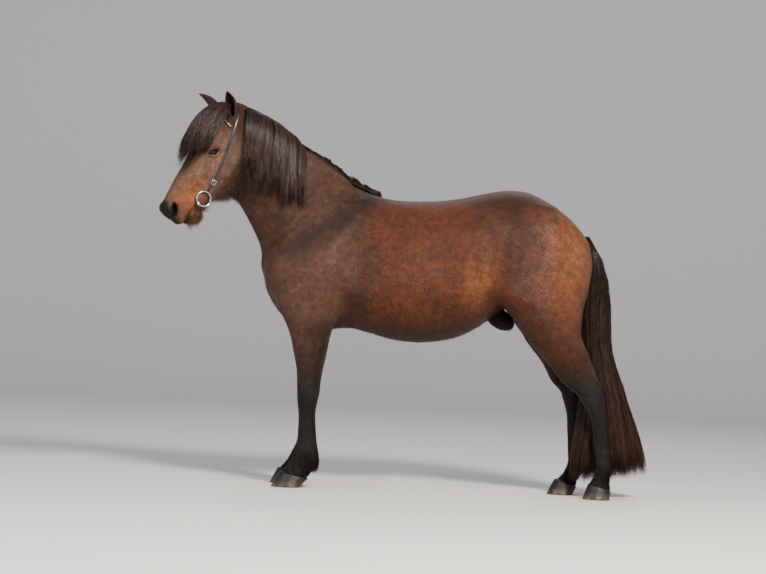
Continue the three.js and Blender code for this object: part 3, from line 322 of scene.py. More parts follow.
def head_distance(points):
    local = in_head(points)
    mirrored = both_sides(local, 2)
    distance = skull_shape(local)
    for centre, radii, turn, blend in HEAD_FORMS:
        distance = blended(distance, ellipsoid(mirrored, centre, radii, turn, 0, 1), blend)
    return distance


def body_distance(points):
    """Plain body, as the solids have it."""
    mirrored = both_sides(points, 1)
    distance = blended(torso_shape(points), neck_shape(points), NECK_BLEND)
    for blend, leg in leg_shapes:
        distance = blended(distance, leg(points), blend)
    for centre, radii, turn, blend in TORSO_FORMS:
        distance = blended(distance, ellipsoid(mirrored, centre, radii, turn, 0, 2), blend)
    for centre, radii, height in BODY_RELIEF:
        distance -= height * spot(mirrored, centre, radii)
    return blended(distance, head_distance(points), HEAD_BLEND)


def skin_distance(points):
    """The body with lids, eye openings, nostrils and mouth, inside the coat's depth."""
    distance = body_distance(points) + COAT_DEPTH
    local = both_sides(in_head(points), 2)
    near = (local[:, 0] > 120) & (local[:, 0] < 660) & (np.abs(local[:, 1]) < 260) & (local[:, 2] < 200)
    if not near.any():
        return distance
    head = local[near]
    part = distance[near]
    for centre, radii in LIPS:
        part = blended(part, ellipsoid(head, centre, radii, 0, 0, 1), LIP_BLEND)
    from_eye = head - EYE_AT
    lid_ball = np.sqrt((from_eye**2).sum(1)) - LID_RADIUS
    part = blended(part, lid_ball, LID_BLEND)
    opening = ellipsoid(head, EYE_AT + (1, -1.5, 20), LID_OPENING, EYE_SLANT, 0, 1)
    part = carved(part, opening, OPENING_BLEND)
    along, above = eye_slant(from_eye[:, 0], from_eye[:, 1])
    side = bell(head[:, 2] - 92, 24)
    for high, deep in ((17, 2.4), (25, 1.5), (-18, 1.6)):
        fold = above - high + 0.011 * along**2 * (1 if high > 0 else -1)
        part += deep * bell(fold, 2.4) * bell(along, 28) * side
    part -= 1.8 * bell(above + 12.5 - 0.012 * along**2, 2.6) * bell(along, 22, 4) * side
    nostril = nostril_distance(head)
    part = carved(part, nostril, NOSTRIL_BLEND)
    part -= 3.0 * bell(nostril - 4, 5) * soft(head[:, 2], 22, 40)
    part += 12 * spot(head, (604, -14, 0), (34, 56, 64))
    part += 2.2 * spot(head, (522, 20, 50), (7, 24, 22))
    part -= 2.4 * spot(head, (534, 14, 58), (7, 26, 20))
    run, line = mouth_line(head)
    part += 4.2 / (1 + np.exp(-run / 3)) * bell(line, 2.0)
    distance[near] = part
    return distance


def outward(distance, points, step=1.0):
    """Directions in which the distance grows fastest."""
    slope = np.zeros_like(points)
    for axis in range(3):
        move = np.zeros(3)
        move[axis] = step
        slope[:, axis] = distance(points + move) - distance(points - move)
    return unit(slope)


def crossed(inside, axis):
    """Which grid edges along an axis the surface crosses, and where their two ends lie."""
    low, high = [slice(None)] * 3, [slice(None)] * 3
    low[axis], high[axis] = slice(None, -1), slice(1, None)
    return inside[tuple(low)] != inside[tuple(high)], tuple(low), tuple(high)


def grid_skin(distance, lines):
    """One point in each grid cell that the surface crosses, and the quads between them."""
    shape = [len(line) for line in lines]
    values = np.empty(shape)
    yz = np.stack(np.meshgrid(lines[1], lines[2], indexing="ij"), -1).reshape(-1, 2)
    for i, x in enumerate(lines[0]):
        plane = np.concatenate([np.full((len(yz), 1), x), yz], 1)
        values[i] = distance(plane).reshape(shape[1:])
    inside = values < 0
    total = np.zeros([n - 1 for n in shape] + [3])
    hits = np.zeros([n - 1 for n in shape])
    for axis in range(3):
        crossing, low, high = crossed(inside, axis)
        start = np.nonzero(crossing)
        va, vb = values[low][crossing], values[high][crossing]
        place = np.stack([lines[a][start[a]] for a in range(3)], 1)
        index = start[axis]
        place[:, axis] += va / (va - vb) * (lines[axis][index + 1] - lines[axis][index])
        others = [a for a in range(3) if a != axis]
        for back in ((0, 0), (0, 1), (1, 0), (1, 1)):
            cell = [places.copy() for places in start]
            for other, step in zip(others, back):
                cell[other] -= step
            np.add.at(total, tuple(cell), place)
            np.add.at(hits, tuple(cell), 1)
    used = hits > 0
    number = np.full(used.shape, -1)
    number[used] = np.arange(used.sum())
    points = total[used] / hits[used][:, None]
    quads = []
    for axis in range(3):
        start = np.stack(np.nonzero(crossed(inside, axis)[0]), 1)
        back = np.zeros(3, int)
        side = np.zeros(3, int)
        back[(axis + 1) % 3] = -1
        side[(axis + 2) % 3] = -1
        ring = [start, start + back, start + back + side, start + side]
        quad = np.stack([number[tuple(cell.T)] for cell in ring], 1)
        flip = ~inside[tuple(start.T)]
        quad[flip] = quad[flip][:, ::-1]
        quads.append(quad)
    return points, np.concatenate(quads)


def spaced(stretches):
    """Grid lines from (start, step) pairs; the last pair only closes the row."""
    lines = []
    for (start, step), (stop, _) in zip(stretches, stretches[1:]):
        lines.append(np.arange(start, stop - step * 0.4, step))
    lines.append([stretches[-1][0]])
    return np.concatenate(lines)


def linked(name, mesh):
    """Puts a finished mesh into the scene."""
    mesh.shade_smooth()
    obj = bpy.data.objects.new(name, mesh)
    scene.collection.objects.link(obj)
    return obj


def new_mesh(name, points, faces):
    mesh = bpy.data.meshes.new(name)
    mesh.from_pydata((np.asarray(points) * MM).tolist(), [], [list(map(int, f)) for f in faces])
    mesh.update()
    return linked(name, mesh)


def quad_mesh(name, points, quads):
    """Like new_mesh, but quick for many faces of one kind."""
    mesh = bpy.data.meshes.new(name)
    mesh.vertices.add(len(points))
    mesh.vertices.foreach_set("co", (np.asarray(points, np.float32) * MM).ravel())
    size = quads.shape[1]
    mesh.loops.add(quads.size)
    mesh.loops.foreach_set("vertex_index", quads.astype(np.int32).ravel())
    mesh.polygons.add(len(quads))
    mesh.polygons.foreach_set("loop_start", np.arange(0, quads.size, size, dtype=np.int32))
    mesh.polygons.foreach_set("loop_total", np.full(len(quads), size, np.int32))
    mesh.update(calc_edges=True)
    mesh.validate()
    return linked(name, mesh)


def ring_faces(rings, count, loop=False, caps=True):
    """Faces between rings of points, and one at each end."""
    faces = []
    for i in range(rings if loop else rings - 1):
        step = (i + 1) % rings * count - i * count
        for s in range(count):
            a, b = i * count + s, i * count + (s + 1) % count
            faces.append((a, b, b + step, a + step))
    if caps:
        faces.append(tuple(range(count))[::-1])
        faces.append(tuple(range((rings - 1) * count, rings * count)))
    return faces


def linear(red, green, blue):
    """A colour given in 0 to 255 screen values, as light values."""
    share = np.array([red, green, blue]) / 255
    return np.where(share < 0.04045, share / 12.92, ((share + 0.055) / 1.055) ** 2.4)


# Colours of the dark bay coat, and of the painted shade, sheen and highlights on it
BARREL = linear(82, 44, 25)
CROUP = linear(84, 47, 29)
PALE_FLANK_AND_HIGHLIGHT = linear(124, 78, 48)
GREY_COAT_AND_SHEEN = linear(76, 51, 39)
DARK_BAND_AND_SHADE = linear(38, 23, 17)
TOPLINE = linear(56, 31, 22)
NECK = linear(66, 42, 30)
DARK_COAT_AND_SHADE = linear(42, 22, 13)
CHEEK = linear(96, 72, 60)
FOREHEAD = linear(40, 26, 20)
NOSE_TAN = linear(130, 80, 50)
MUZZLE = linear(16, 13, 12)
LID_HIGHLIGHT = linear(160, 132, 112)
LEG_BLACK = linear(19, 15, 14)
HAIR_DARK = linear(30, 21, 19)
HAIR_BROWN = linear(88, 56, 44)


def coat_colour_and_painted_light(points):
    """The markings of the coat with painted shade, sheen and highlights, shared by the skin and every tuft.
    """
    x, y, z = points.T
    mirrored = both_sides(points, 1)
    local = both_sides(in_head(points), 2)
    down, out, left = local.T
    colour = np.tile(BARREL, (len(points), 1))

    def paint(value, share):
        colour[:] = colour + (value - colour) * np.clip(share, 0, 1)[:, None]

    def paint_spots(*spots):
        for value, share, centre, radii in spots:
            paint(value, share * spot(mirrored, centre, radii))

    paint(CROUP, 0.9 * soft(x, 380, 640))
    # A greyer front half: partly coat tone, partly painted sheen on the shoulder
    paint(GREY_COAT_AND_SHEEN, 0.9 * soft(-x, 60, 400))
    paint(TOPLINE, 0.75 * soft(z, 1270, 1370) * soft(x, -320, -100))
    # Painted shade under the belly
    paint(DARK_COAT_AND_SHADE, 0.85 * soft(-z, -800, -700) * soft(600 - np.abs(x - 60), 0, 200))
    paint_spots((DARK_COAT_AND_SHADE, 0.5, (330, 250, 900), (130, 90, 170)),
                (DARK_COAT_AND_SHADE, 0.45, (470, 150, 1330), (160, 120, 70)))
    along = (x + 455) * -0.62 + (z - 1215) * 0.785
    paint(NECK, 0.9 * soft(along, -60, 90))
    slant = x + 268 - 1.3 * (z - 1257)
    paint(DARK_BAND_AND_SHADE, 0.92 * bell(slant, 112) * soft(z, 960, 1150))
    # Among these spots: painted sheen on the shoulder and near the hip, painted shade in the crease between
    # foreleg and barrel and down from the hip to the stifle, and a painted highlight on the buttock; the
    # narrow dark spot on the hip is a hair whorl
    paint_spots((GREY_COAT_AND_SHEEN, 0.7, (-330, 190, 1010), (110, 120, 150)),
                (DARK_COAT_AND_SHADE, 0.6, (-222, 200, 850), (42, 130, 95)),
                (DARK_BAND_AND_SHADE, 0.45, (-190, 200, 1010), (55, 130, 150)),
                (DARK_BAND_AND_SHADE, 0.6, (490, 210, 1170), (90, 160, 210)),
                (DARK_BAND_AND_SHADE, 0.35, (330, 230, 1230), (70, 120, 110)),
                (DARK_BAND_AND_SHADE, 0.4, (560, 190, 860), (90, 140, 150)),
                (GREY_COAT_AND_SHEEN, 0.5, (385, 220, 1245), (42, 90, 60)),
                (DARK_BAND_AND_SHADE, 0.6, (424, 215, 1262), (13, 60, 9)),
                (PALE_FLANK_AND_HIGHLIGHT, 0.7, (330, 240, 960), (80, 120, 150)),
                (PALE_FLANK_AND_HIGHLIGHT, 0.8, (745, 160, 1080), (95, 160, 210)))
    crease = (z - 1222) * 0.93 - (x + 671) * 0.37
    paint(GREY_COAT_AND_SHEEN, 0.6 * bell(crease, 5) * bell(x + 598, 75, 4) * soft(-y, 0, 30))
    fore = x < FORE_END
    paint(LEG_BLACK, 0.96 * np.where(fore, soft(-z, -570, -430), soft(-z, -650, -500)))
    paint(LEG_BLACK, 0.4 * np.where(fore, soft(-z, -720, -540), soft(-z, -900, -640)))
    # Painted shade on the insides of the legs, where they face each other
    paint(LEG_BLACK, 0.5 * soft(-mirrored[:, 1], -110, -60) * soft(-z, -800, -700))
    paint(LEG_BLACK, 1.5 * spot(points, (440, 0, 800), (110, 60, 60)))
    paint(LEG_BLACK, 0.8 * spot(points, (835, 0, 1080), (60, 46, 130)))
    head = soft(-in_head_plane(points), -40, 60)
    paint(CHEEK, 0.9 * head * soft(down, 60, 170))
    paint(FOREHEAD, 0.9 * head * soft(out, 20, 52) * soft(-down, -430, -330))
    paint(NECK, 0.7 * head * soft(-out, 120, 190))
    paint(NOSE_TAN, 0.95 * head * bell(down - 470, 92) * bell(out + 30, 60))
    paint(NOSE_TAN, 0.25 * head * bell(down - 505, 45) * bell(out + 108, 26))
    paint(NOSE_TAN, 0.35 * head * bell(down - 250, 45) * bell(out + 42, 16))
    paint(MUZZLE, head * soft(down + 0.45 * out - 0.35 * left, 530, 562))
    paint(MUZZLE, head * soft(-nostril_distance(local), -9, 0))
    paint(MUZZLE, 0.8 * head * soft(down, 505, 545) * bell(out + 84, 12))
    along_eye, above_eye = eye_slant(down - EYE_AT[0], out - EYE_AT[1])
    near_eye = head * soft(left, 60, 74)
    paint(MUZZLE, 0.9 * near_eye * bell(along_eye, 31, 4) * bell(above_eye + 1, 15.5, 4))
    # A painted highlight along the lower lid
    lid = above_eye + 13.5 - 0.012 * along_eye**2
    paint(LID_HIGHLIGHT, near_eye * bell(lid, 2.6) * bell(along_eye, 24, 4))
    return colour


def in_head_plane(points):
    """How far points lie behind the place where head and neck meet."""
    return (points - (-778.0, -28.0, 1500.0)) @ -forward


def coat_way(points, normals):
    """Which way the hair lies: back and down on the body, down the legs, up and back on the face."""
    x, y, z = points.T
    way = np.stack([np.full_like(x, 0.75), np.sign(y) * 0.05, np.full_like(x, -0.6)], 1)
    leg = soft(-z, -820, -640)[:, None]
    way = way * (1 - leg) + leg * np.array([0.12, 0, -1.0])
    local = in_head(points)
    head = soft(-in_head_plane(points), -30, 60)[:, None]
    side = np.sign(local[:, 2:3])
    face = -0.75 * face_down - 0.55 * face_out + 0.4 * side * face_left
    way = way * (1 - head) + head * face
    return unit(way - normals * (way * normals).sum(1, keepdims=True))


def put_attribute(obj, name, values):
    """A colour or a direction for each vertex."""
    layer = obj.data.attributes.new(name, "FLOAT_COLOR", "POINT")
    rgba = np.ones((len(values), 4), np.float32)
    rgba[:, :3] = values
    layer.data.foreach_set("color", rgba.ravel())


def vertices_of(obj):
    flat = np.empty(3 * len(obj.data.vertices), np.float32)
    obj.data.vertices.foreach_get("co", flat)
    return flat.reshape(-1, 3).astype(float) / MM


def settle(points, rounds=2, limit=4.0, part=40000):
    """Moves points onto the skin, a part of them at a time."""
    for _ in range(rounds):
        for start in range(0, len(points), part):
            some = points[start:start + part]
            move = np.clip(skin_distance(some), -limit, limit)
            points[start:start + part] = some - outward(skin_distance, some, 0.7) * move[:, None]
    return points


EAR_WIDTHS = smooth_table([(0, 20, 150), (0.2, 27, 132), (0.45, 31, 108), (0.7, 25, 96), (0.88, 14, 92),
                           (0.97, 6, 90), (1, 2, 90)])


def ear_mesh(base, tip, open_way):
    """A cupped leaf in rings: outside from rim to rim, then back along the inside."""
    start, stop = out_of_head(base), out_of_head(tip)
    up = unit(stop - start)
    front = out_of_head(open_way) - POLL
    front = unit(front - up * (front @ up))
    aside = np.cross(up, front)
    rings, arc = 34, 22
    points = []
    for i in range(rings + 1):
        share = -0.12 + 1.12 * i / rings
        radius, reach = EAR_WIDTHS(np.array([share]))[0]
        centre = start + (stop - start) * share - front * 6 * math.sin(math.pi * max(share, 0))
        for radius_now, way in ((radius - 1.5, 1), (max(radius - 5.5, radius * 0.3), -1)):
            for s in range(arc):
                turn = math.radians(reach) * (2 * s / (arc - 1) - 1) * way
                curl = 1 + 0.08 * math.sin(5 * turn + 4 * share) * (way < 0)
                points.append(centre - front * radius_now * math.cos(turn)
                              + aside * radius_now * 0.9 * curl * math.sin(turn))
    count = 2 * arc
    faces = ring_faces(rings + 1, count, caps=False)
    for base_index in (0, rings * count):
        for s in range(arc - 1):
            other = base_index + count - 1 - s
            quad = (base_index + s, base_index + s + 1, other - 1, other)
            faces.append(quad if base_index else quad[::-1])
    return np.array(points), faces


EARS = {
    "left": ((34, -14, 58), (-40, 82, 74), (0.55, 0.55, 0.63)),
    "right": ((36, 4, -60), (0, 136, -102), (0.7, 0.45, -0.55)),
}


def build_skin():
    """The seamless skin: a grid that is finer round the head, each quad divided and settled again."""
    fine, coarse = 7.0, 17.0
    lines = (
        spaced([(-1160, fine), (-740, coarse), (1000, 1)]),
        spaced([(-320, coarse), (-204, fine + 1), (76, coarse), (320, 1)]),
        spaced([(34, coarse), (1160, fine), (1770, 1)]),
    )
    points, quads = grid_skin(skin_distance, lines)
    points = settle(points, 2, 6.0)
    skin = quad_mesh("skin", points, quads)
    smoother = skin.modifiers.new("Divide", "SUBSURF")
    smoother.subdivision_type = "SIMPLE"
    smoother.levels = 1
    depsgraph = bpy.context.evaluated_depsgraph_get()
    divided = bpy.data.meshes.new_from_object(skin.evaluated_get(depsgraph))
    skin.modifiers.clear()
    old = skin.data
    skin.data = divided
    bpy.data.meshes.remove(old)
    refine(skin)
    moved = settle(vertices_of(skin), 3)
    skin.data.vertices.foreach_set("co", (moved * MM).astype(np.float32).ravel())
    return skin


def refine(skin):
    """Finer faces round the eyes, nostrils and mouth."""
    mesh = bmesh.new()
    mesh.from_mesh(skin.data)
    for radius in (34, 26):
        local = both_sides(in_head(np.array([v.co[:] for v in mesh.verts]) / MM), 2)
        eye = np.linalg.norm((local - EYE_AT) * (0.75, 1, 1), axis=1) < radius
        nose = np.linalg.norm(local - NOSTRIL_AT, axis=1) < radius
        run, line = mouth_line(local)
        mouth = (run > -8) & (run < 140) & (np.abs(line) < radius - 19) & (local[:, 2] < 75)
        chosen = eye | nose | mouth
        edges = [e for e in mesh.edges if chosen[e.verts[0].index] and chosen[e.verts[1].index]]
        bmesh.ops.subdivide_edges(mesh, edges=edges, cuts=1, use_grid_fill=True)
        mesh.verts.index_update()
        mesh.verts.ensure_lookup_table()
    mesh.to_mesh(skin.data)
    mesh.free()
    skin.data.shade_smooth()


def joined(first, others):
    """One object made of several."""
    bpy.ops.object.select_all(action="DESELECT")
    for obj in (first, *others):
        obj.select_set(True)
    bpy.context.view_layer.objects.active = first
    bpy.ops.object.join()
    return first


def dress_skin(skin):
    """Colour and hair direction on each vertex of the skin."""
    points = vertices_of(skin)
    normals = np.empty(3 * len(points), np.float32)
    skin.data.vertices.foreach_get("normal", normals)
    normals = normals.reshape(-1, 3).astype(float)
    put_attribute(skin, "coat_colour_and_painted_light", coat_colour_and_painted_light(points))
    put_attribute(skin, "coat_way", coat_way(points, normals))


skin = build_skin()
ears = [new_mesh("ear_skin_" + ear_side, *ear_mesh(*ear_form)) for ear_side, ear_form in EARS.items()]
skin = joined(skin, ears)
dress_skin(skin)


# Materials
def new_material(name, roughness, colour=(0.1, 0.1, 0.1)):
    material = bpy.data.materials.new(name)
    material.use_nodes = True
    shader = material.node_tree.nodes["Principled BSDF"]
    shader.inputs["Roughness"].default_value = roughness
    shader.inputs["Base Color"].default_value = (*colour, 1)
    return material, material.node_tree, shader


def node(tree, kind, **values):
    made = tree.nodes.new("ShaderNode" + kind)
    for key, value in values.items():
        if hasattr(made, key):
            setattr(made, key, value)
        else:
            made.inputs[key].default_value = value
    return made


def noise(tree, scale, detail=3.0, vector=None):
    made = node(tree, "TexNoise", Scale=scale, Detail=detail)
    if vector is not None:
        tree.links.new(vector, made.inputs["Vector"])
    return made.outputs["Fac"]


def ramp(tree, value, low, high, start, stop):
    made = node(tree, "MapRange")
    made.inputs["From Min"].default_value = low
    made.inputs["From Max"].default_value = high
    made.inputs["To Min"].default_value = start
    made.inputs["To Max"].default_value = stop
    tree.links.new(value, made.inputs["Value"])
    return made.outputs["Result"]


def scaled(tree, vector, factor):
    """A colour or a direction times a value."""
    made = node(tree, "VectorMath", operation="SCALE")
    tree.links.new(vector, made.inputs[0])
    tree.links.new(factor, made.inputs["Scale"])
    return made.outputs["Vector"]


def multiplied(tree, first, second):
    made = node(tree, "Math", operation="MULTIPLY")
    tree.links.new(first, made.inputs[0])
    tree.links.new(second, made.inputs[1])
    return made.outputs[0]


def add_bump(tree, shader, height, strength, distance):
    bump = node(tree, "Bump", Strength=strength, Distance=distance)
    tree.links.new(height, bump.inputs["Height"])
    tree.links.new(bump.outputs["Normal"], shader.inputs["Normal"])


def stored_colour(tree):
    return node(tree, "Attribute", attribute_name="coat_colour_and_painted_light").outputs["Color"]


def object_place(tree):
    return node(tree, "TexCoord").outputs["Object"]


def hair_coordinates(tree, place, squeeze):
    """Object coordinates squeezed along the lie of the hair, so that noise runs in streaks."""
    way = node(tree, "Attribute", attribute_name="coat_way").outputs["Vector"]
    reach = node(tree, "VectorMath", operation="DOT_PRODUCT")
    tree.links.new(place, reach.inputs[0])
    tree.links.new(way, reach.inputs[1])
    back = node(tree, "Math", operation="MULTIPLY")
    tree.links.new(reach.outputs["Value"], back.inputs[0])
    back.inputs[1].default_value = squeeze - 1
    total = node(tree, "VectorMath", operation="ADD")
    tree.links.new(place, total.inputs[0])
    tree.links.new(scaled(tree, way, back.outputs[0]), total.inputs[1])
    return total.outputs["Vector"]


def skin_material():
    """Short fur: streaks along the lie of the hair, broken by softer patches."""
    material, tree, shader = new_material("coat_skin", 0.46)
    place = object_place(tree)
    streaked = hair_coordinates(tree, place, 0.1)
    hairs = noise(tree, 620.0, 2.0, streaked)
    clumps = noise(tree, 150.0, 4.0, streaked)
    patches = noise(tree, 34.0, 7.0, place)
    broad = noise(tree, 9.0, 3.0, place)
    mottle = multiplied(tree, ramp(tree, patches, 0.3, 0.7, 0.68, 1.3),
                        ramp(tree, broad, 0.35, 0.65, 0.86, 1.12))
    shade = multiplied(tree, ramp(tree, hairs, 0.3, 0.7, 0.72, 1.3), mottle)
    shade = multiplied(tree, shade, ramp(tree, clumps, 0.3, 0.7, 0.6, 1.42))
    tree.links.new(scaled(tree, stored_colour(tree), shade), shader.inputs["Base Color"])
    shader.inputs["Sheen Weight"].default_value = 0.06
    shader.inputs["Sheen Roughness"].default_value = 0.5
    shader.inputs["Sheen Tint"].default_value = (0.9, 0.72, 0.6, 1)
    shader.inputs["Specular IOR Level"].default_value = 0.3
    height = node(tree, "Math", operation="ADD")
    tree.links.new(hairs, height.inputs[0])
    tree.links.new(clumps, height.inputs[1])
    add_bump(tree, shader, height.outputs[0], 0.8, 0.002)
    return material


def hair_material(name, roughness):
    material, tree, shader = new_material(name, roughness)
    tree.links.new(stored_colour(tree), shader.inputs["Base Color"])
    shader.inputs["Specular IOR Level"].default_value = 0.5
    shader.inputs["Sheen Weight"].default_value = 0.04
    shader.inputs["Sheen Tint"].default_value = (0.85, 0.66, 0.55, 1)
    return material


skin.data.materials.clear()
skin.data.materials.append(skin_material())
tuft_material = hair_material("coat_tufts", 0.45)
long_hair_material = hair_material("long_hair", 0.36)
STRAND_FLATNESS = 0.55


# Strands: each is a thin closed prism of three sides that tapers to its tip
def strand_mesh(name, roots, paths, widths, lifts, colours, shape):
    """One mesh of many strands. paths: strand, step, xyz; widths in mm; lifts: which way is out."""
    count, steps, _ = paths.shape
    runs = unit(np.gradient(paths, axis=1))
    across = unit(np.cross(runs, lifts))
    out = np.cross(across, runs)
    size = widths[:, None] / 2 * shape[None, :]
    ring = [(1.0, -0.5 * STRAND_FLATNESS), (0.0, STRAND_FLATNESS), (-1.0, -0.5 * STRAND_FLATNESS)]
    corners = [paths + across * (size * w)[..., None] + out * (size * d)[..., None] for w, d in ring]
    body = np.stack([corner[:, :-1] for corner in corners], 2).reshape(count, -1, 3)
    points = np.concatenate([body, paths[:, -1:]], 1)
    per = points.shape[1]
    faces = []
    for i in range(steps - 2):
        for s in range(3):
            a, b = 3 * i + s, 3 * i + (s + 1) % 3
            faces += [(a, b, b + 3), (a, b + 3, a + 3)]
    last = 3 * (steps - 2)
    faces += [(last + s, last + (s + 1) % 3, per - 1) for s in range(3)]
    faces.append((0, 2, 1))
    faces = np.array(faces)
    every = (faces[None] + per * np.arange(count)[:, None, None]).reshape(-1, 3)
    obj = quad_mesh(name, points.reshape(-1, 3), every)
    shades = np.repeat(colours, per, axis=0)
    if colours.ndim == 3:
        by_step = np.repeat(colours[:, :-1], 3, axis=1)
        shades = np.concatenate([by_step, colours[:, -1:]], 1).reshape(-1, 3)
    put_attribute(obj, "coat_colour_and_painted_light", shades)
    root_map(obj, roots, per)
    return obj


def root_map(obj, roots, per, patch=0.003):
    """The OFBake map: each tuft is a small patch at its root's place on an unwrap of the skin."""
    place = skin_unwrap(roots)
    spread = np.tile(np.linspace(0, 1, per)[None, :, None], (len(roots), 1, 2))
    spread[..., 0] = (np.arange(per) % 3)[None, :] / 2
    spots = (place[:, None, :] + patch * (spread - 0.5)).reshape(-1, 2)
    layer = obj.data.uv_layers.new(name="OFBake")
    index = np.empty(len(obj.data.loops), np.int32)
    obj.data.loops.foreach_get("vertex_index", index)
    layer.data.foreach_set("uv", np.clip(spots[index], 0.001, 0.999).astype(np.float32).ravel())


def skin_unwrap(points):
    """Unwrap by parts: each half of the trunk, neck and head, and each leg, has its own field."""
    x, y, z = points.T
    uv = np.empty((len(points), 2))
    leg = z < LEG_TOP
    right = y > 0
    trunk = ~leg
    along = (x + 1200) / 2400
    girth = np.arctan2(z - 1000 - 0.55 * np.maximum(-x - 400, 0), np.abs(y) + 1) / math.pi + 0.5
    uv[trunk, 0] = 0.01 + 0.98 * np.clip(along[trunk], 0, 1)
    uv[trunk, 1] = 0.02 + 0.28 * np.clip(girth[trunk], 0, 1) + 0.32 * right[trunk]
    hind = x > FORE_END
    middle_x = np.where(hind, np.where(right, 860, 900), -430)
    turn = np.arctan2(np.abs(y) - 122, x - middle_x) / (2 * math.pi) + 0.5
    field = right.astype(float) + 2 * hind
    uv[leg, 0] = 0.01 + 0.24 * field[leg] + 0.22 * turn[leg]
    uv[leg, 1] = 0.67 + 0.3 * np.clip(z[leg] / LEG_TOP, 0, 1)
    return uv


def combed(roots, pull, lengths, lifts, steps=9, hold=0.7):
    """Paths of hair that falls along the body at a given lift, all strands at once."""
    point = roots.copy()
    path = [point.copy()]
    for step in range(1, steps + 1):
        normal = outward(body_distance, point)
        inward = np.minimum((pull * normal).sum(1, keepdims=True), 0)
        way = unit(pull - normal * inward)
        point = point + way * (lengths / steps)[:, None]
        off = body_distance(point) - lifts * (1 - 0.35 * step / steps)
        near = (off < 0) | (step < steps * hold)
        point = point - outward(body_distance, point) * np.where(near, off, 0)[:, None]
        path.append(point.copy())
    return np.stack(path, 1)


def clumped(paths, group, share):
    """Draws the strands of one lock together towards their tips."""
    steps = paths.shape[1]
    number = group.max() + 1
    total = np.zeros((number, steps, 3))
    np.add.at(total, group, paths)
    count = np.maximum(np.bincount(group, minlength=number), 1)
    guide = total / count[:, None, None]
    draw = share * np.linspace(0, 1, steps)[None, :, None] ** 1.3
    return paths + (guide[group] - paths) * draw


def hair_colours(group, steps, brown_share, tip_brown=0.35):
    """Black-brown strands with red-brown streaks that differ by lock, warmer towards the tips."""
    count = len(group)
    by_lock = random.normal(0, 0.13, group.max() + 1)[group]
    warm = np.clip(random.normal(brown_share, 0.2, count) + by_lock, 0, 1)[:, None]
    tips = np.linspace(0, 1, steps)[None, :] ** 2 * tip_brown
    mix = np.clip(warm + tips, 0, 1)[..., None]
    shade = random.uniform(0.6, 1.5, (count, 1, 1))
    return (HAIR_DARK + (HAIR_BROWN - HAIR_DARK) * mix) * shade


def taper(steps, root=0.75, power=2.4):
    """Width of a strand by step: a little thin at the root, a point at the tip."""
    share = np.linspace(0, 1, steps)
    return (root + (1 - root) * np.sin(math.pi / 2 * np.minimum(2.2 * share, 1))) * (1 - share**power)


crest_height = smooth_table([
    (-800, 1716), (-751, 1708), (-695, 1686), (-657, 1668), (-610, 1643), (-563, 1608), (-515, 1562),
    (-468, 1534), (-420, 1506), (-373, 1478), (-326, 1446), (-278, 1405), (-231, 1384), (-184, 1366),
    (-138, 1350),
])


def build_mane(name, start, stop, count, side, lengths, locks, width):
    """Half of the mane: strands leave the crest and fall down one side of the neck."""
    x = np.sort(random.uniform(start, stop, count))
    length_at = smooth_table(lengths)(x)[:, 0]
    layer = random.uniform(0, 1, count)
    middle = -28 * np.clip((-x - 500) / 300, 0, 1)
    rise = crest_height(x)[:, 0]
    lock_at = (x - start) / (stop - start) * locks + random.normal(0, 0.35, count)
    group = np.clip(lock_at, 0, locks - 1).astype(int)
    lock_pull = random.normal(0, 0.045, locks)[group]
    lock_length = random.normal(1, 0.08, locks)[group]
    turn = math.radians(26) * np.clip((-x - 650) / 150, 0, 1)
    pull = unit(np.stack([
        -0.02 - 0.08 * np.sin(turn) * (side < 0) + lock_pull + random.normal(0, 0.03, count),
        np.full(count, side * 0.35), np.full(count, -1.0)], 1))
    spread = random.uniform(-16, 14, count)
    ragged = random.gamma(2.2, 2.4, locks)[group] * (side > 0) * soft(x, -480, -330)
    edge = np.clip((stop - x) / 60, 0, 1) * np.clip((x - start) / 25, 0.3, 1)
    puffed = 13 * (1 - layer) * random.uniform(0.2, 1, count) + ragged * random.uniform(0, 1.6, count)
    top = np.stack([x, middle + side * (2 + 14 * layer), rise + 3 + puffed * edge], 1)
    root = np.stack([x + spread * 0.15, middle + side * spread * 0.5, rise - 8], 1)
    length = length_at * lock_length * random.uniform(0.82, 1.05, count)
    paths = combed(top, pull, length, 6 + 20 * layer, hold=0.75)
    paths = np.concatenate([root[:, None], paths], 1)
    steps = paths.shape[1]
    wave = np.linspace(0, 1, steps)[None, :]
    phase = random.uniform(0, 1, locks)[group][:, None]
    paths[..., 0] += 5 * np.sin(2 * math.pi * (1.1 * wave + phase)) * wave
    paths = clumped(paths, group, 0.45)
    lifts = np.tile(np.array([0.0, side, 0.25]), (count, steps, 1))
    colours = hair_colours(group, steps, 0.17)
    widths = random.uniform(width * 0.7, width * 1.3, count)
    return strand_mesh(name, root, paths, widths, lifts, colours, taper(steps))


# Down and out of the forelock's arch in the head's frame, and how wide it spreads there
FORELOCK_ARCH = [(2, -22), (-12, 36), (24, 82), (96, 114), (160, 128), (215, 124), (262, 104), (292, 84)]
FORELOCK_SPREAD = [42, 60, 76, 90, 100, 104, 104, 100]


